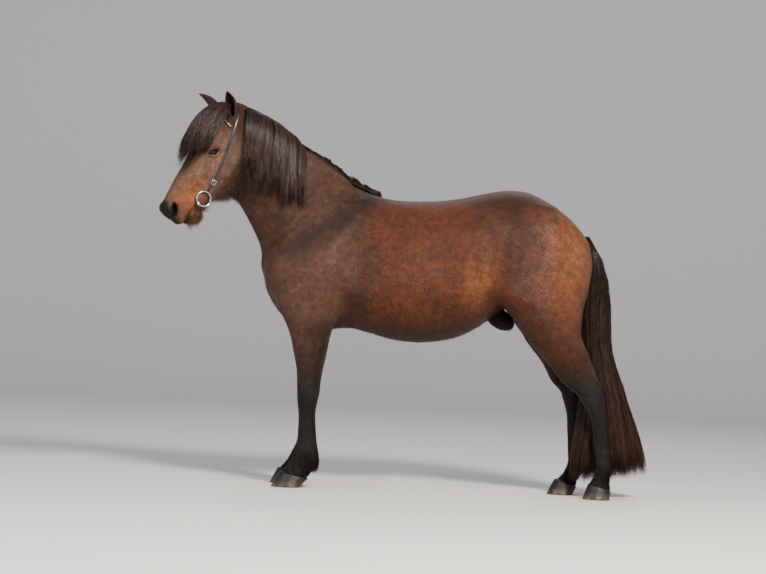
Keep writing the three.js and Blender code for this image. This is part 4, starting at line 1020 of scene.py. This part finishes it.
def build_forelock(name, count):
    """Thick forelock: strands rise between the ears and arch over the forehead."""
    locks = 34
    across = random.uniform(-1, 1, count)
    lock_at = (across + 1) / 2 * locks + random.normal(0, 0.4, count)
    group = np.clip(lock_at, 0, locks - 1).astype(int)
    depth = random.uniform(0, 1, count) ** 0.6
    length = (1 - np.where(across > 0, 0.19, 0.24) * across**2) * random.normal(1, 0.085, count)
    length *= random.normal(1, 0.07, locks)[group]
    stops = len(FORELOCK_ARCH)
    paths = np.empty((count, stops, 3))
    for step, (down, out) in enumerate(FORELOCK_ARCH):
        share = step / (stops - 1)
        inward = 1 - np.where(across > 0, 0.7, 0.5) * across**2 * min(step / 3, 1)
        height = out * inward * (0.55 + 0.47 * depth) if out > 0 else np.full(count, float(out))
        local = np.stack([down * length + random.normal(0, 1.5, count) * share, height,
                          across * FORELOCK_SPREAD[step] + random.normal(0, 3.0, count)], 1)
        paths[:, step] = out_of_head(local)
    paths = clumped(paths, group, 0.5)
    for step in range(1, stops):
        deep = 6 - body_distance(paths[:, step])
        paths[:, step] += outward(body_distance, paths[:, step]) * np.maximum(deep, 0)[:, None]
    fine = 11
    at = np.linspace(0, stops - 1, fine)
    low = np.minimum(at.astype(int), stops - 2)
    part = (at - low)[None, :, None]
    before, after = paths[:, np.maximum(low - 1, 0)], paths[:, np.minimum(low + 2, stops - 1)]
    a, b = paths[:, low], paths[:, low + 1]
    bend = 2 * before - 5 * a + 4 * b - after + part * (3 * (a - b) + after - before)
    smooth = a + 0.5 * part * (b - before + part * bend)
    lifts = np.tile(face_out, (count, fine, 1))
    colours = hair_colours(group, fine, 0.1, 0.15)
    widths = random.uniform(1.5, 3.0, count)
    return strand_mesh(name, paths[:, 0], smooth, widths, lifts, colours, taper(fine, 0.6))


tail_front = smooth_table([(40, 776), (200, 786), (350, 806), (500, 826), (650, 826), (750, 812), (900, 808),
                           (1043, 822), (1130, 822), (1200, 802)])
tail_back = smooth_table([(60, 1160), (156, 1142), (287, 1100), (400, 1058), (523, 1012), (636, 966),
                          (727, 950), (819, 944), (910, 938), (1047, 914), (1111, 892), (1160, 864),
                          (1200, 836)])
tail_half = smooth_table([(60, 88), (400, 78), (600, 64), (800, 54), (1000, 44), (1120, 36), (1200, 26)])


def build_tail(name, count, low_share, high_share):
    """Tail strands leave the dock and fall in a body that widens towards the ground."""
    steps = 12
    locks = 60
    angle = random.uniform(0, 2 * math.pi, count)
    reach = random.uniform(low_share, high_share, count)
    lock_at = angle / (2 * math.pi) * locks + random.normal(0, 0.5, count)
    group = np.mod(lock_at, locks).astype(int)
    depth = 0.5 + 0.5 * reach * np.cos(angle)
    aside = reach * np.sin(angle)
    root_height = 1196 - 290 * random.uniform(0, 1, count) ** 1.5
    tip = 40 + 52 * depth + np.abs(random.normal(0, 30, count))
    tip += 16 * np.abs(random.normal(0, 1, locks))[group]
    paths = np.empty((count, steps, 3))
    for step in range(steps):
        share = step / (steps - 1)
        height = root_height + (tip - root_height) * share
        settle_share = soft(1210 - height, 0, 130) * min(0.35 + share * 4, 1)
        along = 0.42 + (depth - 0.42) * (0.45 + 0.55 * settle_share)
        front, back = tail_front(height)[:, 0], tail_back(height)[:, 0]
        wave = 6 * share * np.sin(9 * share + 1.7 * group)
        width = aside * tail_half(height)[:, 0] * (0.5 + 0.5 * settle_share)
        paths[:, step, 0] = front + (back - front) * along + random.normal(0, 2.4, count) + wave
        paths[:, step, 1] = width + random.normal(0, 1.5, count)
        paths[:, step, 2] = height
    paths = clumped(paths, group, 0.3)
    out = np.stack([np.cos(angle), np.sin(angle), np.zeros(count)], 1)
    lifts = np.repeat(out[:, None], steps, 1)
    colours = hair_colours(group, steps, 0.06, 0.38)
    shape = 0.5 + 0.5 * np.sin(math.pi * np.clip(np.linspace(0, 1, steps) * 0.75, 0, 0.5))
    shape *= 1 - np.linspace(0, 1, steps) ** 6
    widths = random.uniform(1.8, 3.6, count)
    return strand_mesh(name, paths[:, 0], paths, widths, lifts, colours, shape)


def skin_samples(weight, count):
    """Places on the skin drawn by area and by a weight of place and outward way."""
    mesh = skin.data
    mesh.calc_loop_triangles()
    corners = np.empty(3 * len(mesh.loop_triangles), np.int32)
    mesh.loop_triangles.foreach_get("vertices", corners)
    corners = corners.reshape(-1, 3)
    points = vertices_of(skin)
    a, b, c = (points[corners[:, i]] for i in range(3))
    normal = np.cross(b - a, c - a)
    area = np.linalg.norm(normal, axis=1)
    normal /= np.maximum(area, 1e-9)[:, None]
    middle = (a + b + c) / 3
    chance = area * weight(middle, normal)
    chosen = random.choice(len(corners), count, p=chance / chance.sum())
    u, v = random.uniform(0, 1, (2, count))
    over = u + v > 1
    u[over], v[over] = 1 - u[over], 1 - v[over]
    place = a[chosen] + (b - a)[chosen] * u[:, None] + (c - a)[chosen] * v[:, None]
    return place, normal[chosen]


def build_tufts(name, weight, count, length, width, lift, droop=0.0, clump=0.0):
    """Short tufts on the skin: they lie along the coat and stand off it by a small lift."""
    place, normal = skin_samples(weight, count)
    way = coat_way(place, normal)
    aside = np.cross(normal, way)
    size = length(place) * random.uniform(0.6, 1.2, count)
    way = way + aside * random.normal(0, 0.16, count)[:, None]
    steps = 4
    paths = np.empty((count, steps, 3))
    for step in range(steps):
        share = step / (steps - 1)
        rise = -0.8 + size * lift * math.sin(0.5 * math.pi * share) * random.uniform(0.5, 1.3, count)
        paths[:, step] = place + way * (size * share)[:, None] + normal * rise[:, None]
        paths[:, step, 2] -= droop * size * share**2
    if clump:
        cells = np.floor(place / clump).astype(int)
        _, group = np.unique(cells, axis=0, return_inverse=True)
        paths = clumped(paths, group.ravel(), 0.6)
    lifts = np.repeat(normal[:, None], steps, 1)
    tint = random.uniform(0.75, 1.3, (count, 1))
    colours = coat_colour_and_painted_light(place) * tint
    widths = np.full(count, width) * random.uniform(0.7, 1.3, count)
    return strand_mesh(name, place, paths, widths, lifts, colours, taper(steps, 0.9, 1.6))


# Regions where the coat breaks the form. Each gives the share of tufts for places and outward ways

def fetlock_weight(points, normals):
    x, y, z = points.T
    fore = x < FORE_END
    right = y > 0
    fore_lead = np.interp(z, [0, 150, 400], [16, 12, 6])
    hind_lead = np.interp(z, [0, 110, 226, 380], [150, 120, 106, 90])
    centre = np.where(fore, -430 - fore_lead * right, 922 - hind_lead * right)
    behind = soft(x - centre, -22, 26)
    return behind * bell(z - 128, 48) + 0.15 * soft(-z, -260, -150) * (z > 62)


def coronet_weight(points, normals):
    return bell(points[:, 2] - 72, 16) + 1e-9


def cannon_weight(points, normals):
    z = points[:, 2]
    return soft(-z, -470, -380) * soft(z, 80, 120) * soft(normals[:, 0], -0.2, 0.9) + 1e-9


def under_weight(points, normals):
    """Belly, elbow, flank, breast and the insides that face the ground."""
    z = points[:, 2]
    mirrored = both_sides(points, 1)
    low = soft(-normals[:, 2], 0.1, 0.8) * soft(z, 600, 700) * soft(1150 - z, 0, 250)
    flank = spot(mirrored, (360, 230, 880), (90, 90, 90))
    elbow = spot(mirrored, (-330, 150, 760), (90, 80, 70))
    return low + 0.7 * flank + 0.7 * elbow


def edge_weight(points, normals):
    """A light cover everywhere that softens the outline of trunk, neck and thighs."""
    turned = np.abs(normals[:, 2]) + np.abs(normals[:, 0])
    return soft(points[:, 2], 440, 560) * soft(turned, 0.3, 1.0) + 0.12


def jaw_weight(points, normals):
    down, out, _ = in_head(points).T
    face = soft(-in_head_plane(points), 0, 50)
    below = soft(-out, 105, 165) * soft(down, 60, 150) * soft(420 - down, 0, 60)
    chin = bell(down - 508, 42) * bell(out + 122, 22)
    return face * (0.6 * below + 2.0 * chin) + 1e-9


def face_weight(points, normals):
    from_eye = (in_head(points) - EYE_AT)[:, :2]
    face = soft(-in_head_plane(points), 0, 50)
    return face * (1 - bell(np.linalg.norm(from_eye, axis=1), 30, 4)) + 1e-9


def throat_weight(points, normals):
    x, _, z = points.T
    along = (x + 400) * -0.707 + (z - 1150) * 0.707
    across = (x + 400) * 0.707 + (z - 1150) * 0.707
    return soft(along, 100, 200) * soft(-across, 20, 120) * soft(600 - along, 0, 80) + 1e-9


def even(value):
    return lambda points: np.full(len(points), float(value))


def fetlock_length(points):
    """The feather is longest at the back of the fetlock."""
    return 14 + 26 * bell(points[:, 2] - 132, 30)


hair_share = 1.0


def amount(full):
    return int(full * hair_share)


coat = [
    build_tufts("coat_fetlocks", fetlock_weight, amount(5200), fetlock_length, 1.5, 0.3, droop=0.45,
                clump=9.0),
    build_tufts("coat_coronets", coronet_weight, amount(3600), even(15), 1.3, 0.22, droop=0.2),
    build_tufts("coat_cannons", cannon_weight, amount(3400), even(11), 1.0, 0.2),
    build_tufts("coat_underside", under_weight, amount(7800), even(16), 1.1, 0.24, droop=0.25, clump=6.0),
    build_tufts("coat_outline", edge_weight, amount(7800), even(9), 0.9, 0.2),
    build_tufts("coat_jaw", jaw_weight, amount(4200), even(27), 1.2, 0.5, droop=0.9),
    build_tufts("coat_face", face_weight, amount(5200), even(5), 0.6, 0.13),
    build_tufts("coat_throat", throat_weight, amount(3000), even(12), 0.9, 0.25, droop=0.3),
]
mane_near = build_mane("mane_near", -776, -545, amount(3000), LEFT,
                       [(-776, 330), (-740, 390), (-690, 415), (-600, 400), (-545, 360)], 22, 2.4)
mane_far = build_mane("mane_far", -600, -150, amount(2900), RIGHT,
                      [(-600, 330), (-400, 360), (-250, 260), (-150, 120)], 24, 2.8)
forelock = build_forelock("forelock", amount(3000))
tail_outer = build_tail("tail_outer", amount(2900), 0.8, 1.0)
tail_inner = build_tail("tail_inner", amount(2400), 0.25, 0.85)

for piece in coat:
    piece.data.materials.clear()
    piece.data.materials.append(tuft_material)
    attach(piece, "root")
for piece in (mane_near, mane_far, forelock, tail_outer, tail_inner):
    piece.data.materials.clear()
    piece.data.materials.append(long_hair_material)
    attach(piece, "root")
LEG_NAMES = ("front_left", "front_right", "hind_left", "hind_right")
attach(skin, "root")
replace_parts(skin, "torso", "neck", "head", "ear_left", "ear_right", *("leg_" + name for name in LEG_NAMES))
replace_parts(tail_outer, "tail")


# Eyes
def eye_material():
    material, tree, shader = new_material("eye_glass", 0.04)
    tree.links.new(stored_colour(tree), shader.inputs["Base Color"])
    shader.inputs["Specular IOR Level"].default_value = 0.35
    shader.inputs["Coat Weight"].default_value = 0.3
    shader.inputs["Coat Roughness"].default_value = 0.02
    return material


eye_finish = eye_material()
SIDES = (("left", 1), ("right", -1))


def build_eye(name, sign):
    """Eyeball with a wide level pupil, a dark brown iris and a paler rim."""
    rings, count = 28, 40
    points, colours = [], []
    iris, pupil, white = linear(34, 18, 11), linear(4, 3, 4), linear(70, 50, 42)
    for i in range(rings + 1):
        polar = math.pi * i / rings
        bulge = 1 + 0.05 * bell(polar, 0.45)
        radius = EYE_RADIUS * bulge - 1.0
        size = radius * math.sin(polar)
        height = sign * (EYE_AT[2] + radius * math.cos(polar))
        for s in range(count):
            turn = 2 * math.pi * s / count
            a, b = size * math.cos(turn), size * math.sin(turn)
            points.append(out_of_head((EYE_AT[0] + a, EYE_AT[1] + b, height)))
            run, rise = eye_slant(a, b)
            in_pupil = math.hypot(run / 9.5, rise / 5.0) < 1
            colour = pupil if in_pupil else iris * (0.7 + 0.5 * math.sin(9 * turn) ** 2)
            colours.append(white if size > 16.5 or polar >= math.pi / 2 else colour)
    faces = ring_faces(rings + 1, count, caps=False)
    if sign > 0:
        faces = [face[::-1] for face in faces]
    obj = new_mesh(name, points, faces)
    put_attribute(obj, "coat_colour_and_painted_light", np.array(colours))
    obj.data.materials.append(eye_finish)
    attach(obj, "root")
    return obj


for eye_side, eye_sign in SIDES:
    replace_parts(build_eye("eyeball_" + eye_side, eye_sign), "eye_" + eye_side)


# Hooves: side, middle, toe and heel at the ground, toe and heel at the coronet, heights of toe and
# heel, and half widths at the ground and at the coronet
HOOVES = {
    "front_left": (-1, 125, -578, -446, -541, -406, 74, 40, 62, 50),
    "front_right": (1, 125, -594, -462, -556, -421, 74, 40, 62, 50),
    "hind_left": (-1, 118, 840, 966, 866, 970, 74, 42, 57, 48),
    "hind_right": (1, 118, 690, 812, 727, 830, 74, 42, 57, 48),
}


def horn_material():
    """Dark horn with upright fibres, dusty near the ground."""
    material, tree, shader = new_material("hoof_horn", 0.4)
    place = object_place(tree)
    squeezed = node(tree, "Mapping")
    squeezed.inputs["Scale"].default_value = (1, 1, 0.12)
    tree.links.new(place, squeezed.inputs["Vector"])
    fibres = noise(tree, 420.0, 3.0, squeezed.outputs["Vector"])
    dust = noise(tree, 34.0, 5.0, place)
    height = node(tree, "SeparateXYZ")
    tree.links.new(place, height.inputs[0])
    low = ramp(tree, height.outputs["Z"], 0.0, 0.035, 1.0, 0.0)
    blend = node(tree, "Mix", data_type="RGBA")
    blend.inputs["A"].default_value = (*linear(40, 37, 37), 1)
    blend.inputs["B"].default_value = (*linear(122, 98, 76), 1)
    dusty = multiplied(tree, low, ramp(tree, dust, 0.35, 0.65, 0.1, 1.0))
    tree.links.new(dusty, blend.inputs["Factor"])
    shade = scaled(tree, blend.outputs["Result"], ramp(tree, fibres, 0.3, 0.7, 0.7, 1.3))
    tree.links.new(shade, shader.inputs["Base Color"])
    add_bump(tree, shader, fibres, 0.4, 0.0012)
    return material


horn = horn_material()


def build_hoof(name, sign, middle, toe, heel, top_toe, top_heel, rise_toe, rise_heel, half_low, half_high):
    """Hoof wall with growth rings, a rounded coronet, a dent between the heels and a flat sole."""
    levels = [0, 0.02, 0.06, *np.linspace(0.1, 0.92, 26), 0.955, 0.985, 1.0]
    count = 72
    points = []
    for level in levels:
        edge = 3 if level == 0 else 0
        front = toe + (top_toe - toe) * level + edge
        back = heel + (top_heel - heel) * level
        ripple = 0.5 * math.sin(level * 58) * (0.1 < level < 0.9)
        tuck = 4.5 * max((level - 0.93) / 0.07, 0) ** 2
        half = half_low + (half_high - half_low) * level - edge + ripple - tuck
        reach = (back - front) / 2 + ripple - tuck
        for s in range(count):
            turn = 2 * math.pi * s / count
            ahead = math.cos(turn)
            power = 0.7 if ahead > 0 else 1
            x = (front + back) / 2 + reach * math.copysign(abs(ahead) ** power, ahead)
            run = min(max((x - top_toe) / (top_heel - top_toe), -0.2), 1.2)
            from_heel = turn if turn < math.pi else turn - 2 * math.pi
            dent = 7 * bell(from_heel, 0.2) * (1 - 0.3 * level)
            height = (rise_toe + (rise_heel - rise_toe) * run) * level
            points.append((x - dent, sign * middle + half * math.sin(turn), height))
    obj = new_mesh("hoof_wall_" + name, points, ring_faces(len(levels), count))
    obj.data.materials.append(horn)
    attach(obj, "root")
    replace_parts(obj, "hoof_" + name)


for hoof_name, hoof_sizes in HOOVES.items():
    build_hoof(hoof_name, *hoof_sizes)

# Bridle
def leather_material():
    """Oiled leather with grain and worn places."""
    material, tree, shader = new_material("strap_leather", 0.4)
    place = object_place(tree)
    grain = noise(tree, 700.0, 4.0, place)
    wear = noise(tree, 60.0, 4.0, place)
    base = node(tree, "RGB")
    base.outputs[0].default_value = (*linear(34, 38, 50), 1)
    shade = scaled(tree, base.outputs[0], ramp(tree, wear, 0.3, 0.7, 0.75, 1.35))
    tree.links.new(shade, shader.inputs["Base Color"])
    add_bump(tree, shader, grain, 0.35, 0.0006)
    shader.inputs["Coat Weight"].default_value = 0.15
    return material


def steel_material():
    material, tree, shader = new_material("bright_steel", 0.2, linear(205, 205, 206))
    shader.inputs["Metallic"].default_value = 1.0
    add_bump(tree, shader, noise(tree, 220.0, 4.0, object_place(tree)), 0.12, 0.0004)
    return material


leather = leather_material()
steel = steel_material()
thread, _, _ = new_material("strap_thread", 0.6, linear(86, 84, 84))


def steel_piece(name, points, faces, replaced=None):
    obj = new_mesh(name, points, faces)
    obj.data.materials.append(steel)
    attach(obj, "root")
    if replaced:
        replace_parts(obj, replaced)

def on_head(starts, rays, reach=200.0, halvings=16):
    """Where rays from inside the head leave it."""
    near, far = np.zeros(len(rays)), np.full(len(rays), reach)
    for _ in range(halvings):
        middle = (near + far) / 2
        inside = body_distance(starts + rays * middle[:, None]) < 0
        near = np.where(inside, middle, near)
        far = np.where(inside, far, middle)
    return starts + rays * near[:, None]


def cheek(down, out, left_sign):
    """Places on one side of the head, straight out from its middle plane."""
    starts = out_of_head(np.stack([down, out, np.zeros_like(down)], 1))
    return on_head(starts, np.tile(left_sign * face_left, (len(down), 1)), 160.0)


def path_lengths(points):
    """How far along a path each of its points lies."""
    return np.concatenate([[0], np.cumsum(np.linalg.norm(np.diff(points, axis=0), axis=1))])


def on_path(points, at):
    """Places at given lengths along a path."""
    lengths = path_lengths(points)
    return np.stack([np.interp(at, lengths, points[:, k]) for k in range(points.shape[1])], 1)


def swept(points, normals, outline):
    """A closed section carried along a path on the skin."""
    runs = unit(np.gradient(points, axis=0))
    out = unit(normals - runs * (normals * runs).sum(1, keepdims=True))
    across = np.cross(runs, out)
    rings = [points + across * w + out * d for w, d in outline]
    flat = np.stack(rings, 1).reshape(-1, 3)
    return flat, ring_faces(len(points), len(outline)), runs, out, across


def round_section(width, low, high, corner=1.1, arc=3):
    """Outline of a flat strap with rounded corners."""
    spots = []
    for w, d, start in ((width / 2 - corner, low + corner, -90), (width / 2 - corner, high - corner, 0),
                        (-width / 2 + corner, high - corner, 90), (-width / 2 + corner, low + corner, 180)):
        for i in range(arc + 1):
            turn = math.radians(start + 90 * i / arc)
            spots.append((w + corner * math.cos(turn), d + corner * math.sin(turn)))
    return spots


STRAP_WIDTH, STRAP_TOP = 10.0, 3.9
STITCH_SPACING = 4.2
STITCH_CORNERS = ((-1.3, 0, 0), (0, 0.45, 0), (1.3, 0, 0), (0, -0.45, 0), (0, 0, 0.45), (0, 0, -0.4))


def build_strap(name, points, replaced):
    """A strap that lies on the head, with a row of stitches along each edge."""
    normals = outward(body_distance, points)
    section = round_section(STRAP_WIDTH, -1.2, STRAP_TOP)
    flat, faces, runs, out, across = swept(points, normals, section)
    obj = new_mesh(name, flat, faces)
    obj.data.materials.append(leather)
    lengths = path_lengths(points)
    stitches, stitch_faces = [], []
    at = np.arange(8, lengths[-1] - 8, STITCH_SPACING)
    for place, index in zip(on_path(points, at), np.clip(np.searchsorted(lengths, at), 1, len(points) - 1)):
        for edge in (-1, 1):
            centre = place + across[index] * edge * (STRAP_WIDTH / 2 - 2.1) + out[index] * STRAP_TOP
            first = len(stitches)
            for along, aside, high in STITCH_CORNERS:
                stitches.append(centre + runs[index] * along + across[index] * aside + out[index] * high)
            for s in range(4):
                stitch_faces.append((first + s, first + (s + 1) % 4, first + 4))
                stitch_faces.append((first + (s + 1) % 4, first + s, first + 5))
    sewn = new_mesh(name + "_stitches", stitches, stitch_faces)
    sewn.data.materials.append(thread)
    for piece in (obj, sewn):
        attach(piece, "root")
    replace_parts(obj, replaced)


# Down and out of the cheekpiece's bends in the head's frame
CHEEKPIECE = np.array([(-6, -16), (97, -39), (365, -87), (389, -87)], float)


def cheekpiece_points(left_sign, count=90):
    down, out = on_path(CHEEKPIECE, np.linspace(0, path_lengths(CHEEKPIECE)[-1], count)).T
    return cheek(down, out, left_sign)


def over_head(centre, second, start, stop, count=80):
    """A path over the head, where rays that turn about a centre leave it."""
    up = unit(out_of_head(second) - POLL)
    turns = np.radians(np.linspace(start, stop, count))
    rays = face_left * np.cos(turns)[:, None] + up * np.sin(turns)[:, None]
    return on_head(np.tile(out_of_head(centre), (count, 1)), rays)


def build_studs(name, points, spacing=9.0, radius=3.1):
    """A row of small steel domes along a strap."""
    rings, count = 4, 10
    spots = on_path(points, np.arange(4, path_lengths(points)[-1] - 4, spacing))
    made, faces = [], []
    for stud, up in zip(spots, outward(body_distance, spots)):
        aside = unit(np.cross(up, (0.0, 0.0, 1.0)))
        along = np.cross(up, aside)
        faces += [tuple(len(made) + k for k in face) for face in ring_faces(rings, count)]
        for ring in range(rings):
            tilt = math.radians(ring * 26)
            flat = radius * math.cos(tilt)
            for s in range(count):
                turn = 2 * math.pi * s / count
                made.append(stud + up * (3.7 + 0.8 * radius * math.sin(tilt))
                            + flat * (math.cos(turn) * aside + math.sin(turn) * along))
    steel_piece(name, made, faces)


build_strap("strap_crown", over_head((-17, -60, 0), (0, 1, 0), 42, 138), "bridle_crownpiece")
build_strap("strap_brow", over_head((84, 0, 0), (-27, 84, 0), -14, 194), "bridle_browband")
build_studs("brow_studs", over_head((84, 0, 0), (-27, 84, 0), -8, 188, 160))
for strap_side, strap_sign in SIDES:
    build_strap("strap_cheek_" + strap_side, cheekpiece_points(strap_sign), "bridle_cheekpiece_" + strap_side)


def tube(points, radius, closed=True, count=12):
    """A round wire along a path that lies in one plane."""
    points = np.asarray(points, float)
    runs = np.roll(points, -1, 0) - np.roll(points, 1, 0) if closed else np.gradient(points, axis=0)
    _, _, axes = np.linalg.svd(points - points.mean(0))
    plane = axes[2]
    aside = unit(np.cross(unit(runs), plane))
    turns = np.arange(count) * 2 * math.pi / count
    rings = [points + radius * (math.cos(t) * aside + math.sin(t) * plane) for t in turns]
    made = np.stack(rings, 1).reshape(-1, 3)
    return made, ring_faces(len(points), count, loop=closed, caps=not closed)


RING_AT = (433.0, -87.0, 66.0)
RING_RADIUS, RING_WIRE = 34.0, 4.0
BUCKLE_CORNERS = ((7.2, 9.2, 0), (-7.2, 9.2, 90), (-7.2, -9.2, 180), (7.2, -9.2, 270))
BUCKLE_HEIGHT, BUCKLE_ROUND, BUCKLE_WIRE = 6.8, 2.2, 1.7
PRONG_LINE, PRONG_WIRE = ((-9.2, 6.8), (-3, 7.2), (4, 7.4), (10.4, 8.0)), 1.1
for ring_side, ring_sign in SIDES:
    turns = np.linspace(0, 2 * math.pi, 72, endpoint=False)
    circle = np.stack([RING_AT[0] + RING_RADIUS * np.cos(turns), RING_AT[1] + RING_RADIUS * np.sin(turns),
                       np.full(72, ring_sign * RING_AT[2])], 1)
    steel_piece("ring_" + ring_side, *tube(out_of_head(circle), RING_WIRE), "bit_ring_" + ring_side)
    upper, middle, lower = cheek(np.array([330.0, 345.0, 360.0]), np.array([-81.0, -83.5, -86.0]), ring_sign)
    normal = outward(body_distance, middle[None])[0]
    run = unit(lower - upper)
    out = unit(normal - run * (normal @ run))
    across = np.cross(run, out)
    corners = []
    for w, d, start in BUCKLE_CORNERS:
        for i in range(5):
            turn = math.radians(start + 22.5 * i)
            corners.append(middle + across * (w + BUCKLE_ROUND * math.cos(turn))
                           + run * (d + BUCKLE_ROUND * math.sin(turn)) + out * BUCKLE_HEIGHT)
    steel_piece("buckle_" + ring_side, *tube(corners, BUCKLE_WIRE), "bridle_buckle_" + ring_side)
    prong = [middle + run * d + out * h for d, h in PRONG_LINE]
    steel_piece("buckle_prong_" + ring_side, *tube(prong, PRONG_WIRE, closed=False))

# The bit's bar runs from ring to ring, thicker where the rings pass through it
ring_way = unit(np.array([MOUTH_CORNER[0] - RING_AT[0], MOUTH_CORNER[1] - 4 - RING_AT[1]]))
bar = np.array(RING_AT[:2]) + ring_way * RING_RADIUS
BAR_RINGS, BAR_COUNT = 60, 16
bar_points = []
for left in np.linspace(-71, 71, BAR_RINGS):
    radius = 5.6 + 3.6 * bell(abs(left) - 64, 6, 4)
    for s in range(BAR_COUNT):
        turn = 2 * math.pi * s / BAR_COUNT
        bar_at = bar + (radius * math.cos(turn), radius * math.sin(turn))
        bar_points.append(out_of_head((*bar_at, left)))
steel_piece("bit_bar", bar_points, ring_faces(BAR_RINGS, BAR_COUNT), "bit_mouthpiece")


# Floor, light and camera
floor_mesh = bpy.data.meshes.new("studio_floor")
BACK, CURVE = 9.0, 5.0
floor_line = [(-30.0, 0.0), (BACK, 0.0)]
floor_line += [(BACK + CURVE * math.sin(t), CURVE - CURVE * math.cos(t))
               for t in np.linspace(0.05, math.pi / 2, 24)]
floor_line.append((BACK + CURVE, 30.0))
floor_points = [(x, y, z) for y, z in floor_line for x in (-40.0, 40.0)]
floor_faces = [(2 * i, 2 * i + 1, 2 * i + 3, 2 * i + 2) for i in range(len(floor_line) - 1)]
floor_mesh.from_pydata(floor_points, [], floor_faces)
floor = linked("studio_floor", floor_mesh)
floor_finish, _, _ = new_material("floor_plain", 0.75, linear(214, 211, 206))
floor_mesh.materials.append(floor_finish)

world = bpy.data.worlds.new("studio")
scene.world = world
world.use_nodes = True
background = world.node_tree.nodes["Background"]
background.inputs["Color"].default_value = (0.86, 0.9, 1.0, 1)
background.inputs["Strength"].default_value = 0.5


def area_light(name, place, aim, size, power, colour):
    data = bpy.data.lights.new(name, "AREA")
    data.shape = "DISK"
    data.size = size
    data.energy = power
    data.color = colour
    lamp = bpy.data.objects.new(name, data)
    lamp.location = place
    lamp.rotation_euler = (Vector(aim) - Vector(place)).to_track_quat("-Z", "Y").to_euler()
    scene.collection.objects.link(lamp)


area_light("key", (2.6, -6.8, 5.6), (0, 0, 0.9), 1.8, 980, (1.0, 0.95, 0.88))
area_light("fill", (-5.2, -5.6, 2.8), (0, 0, 0.9), 3.0, 150, (0.9, 0.95, 1.0))
area_light("rim", (1.0, 5.0, 5.5), (0, 0, 1.0), 4.0, 60, (1.0, 1.0, 1.0))

CAMERA_DISTANCE, CAMERA_HEIGHT, CAMERA_X = 13.0, 0.926, -0.106
CAMERA_ROLL = math.radians(2.41)
camera_data = bpy.data.cameras.new("camera")
camera_data.sensor_width = 36.0
camera_data.lens = 133.0
camera_data.dof.use_dof = False
camera = bpy.data.objects.new("camera", camera_data)
level = Matrix.Rotation(math.radians(90), 4, "X")
place = Matrix.Translation((CAMERA_X, -CAMERA_DISTANCE, CAMERA_HEIGHT))
camera.matrix_world = place @ level @ Matrix.Rotation(CAMERA_ROLL, 4, "Z")
scene.collection.objects.link(camera)
scene.camera = camera
scene.view_settings.view_transform = "AgX"
scene.view_settings.look = "AgX - Medium High Contrast"

bpy.context.view_layer.update()
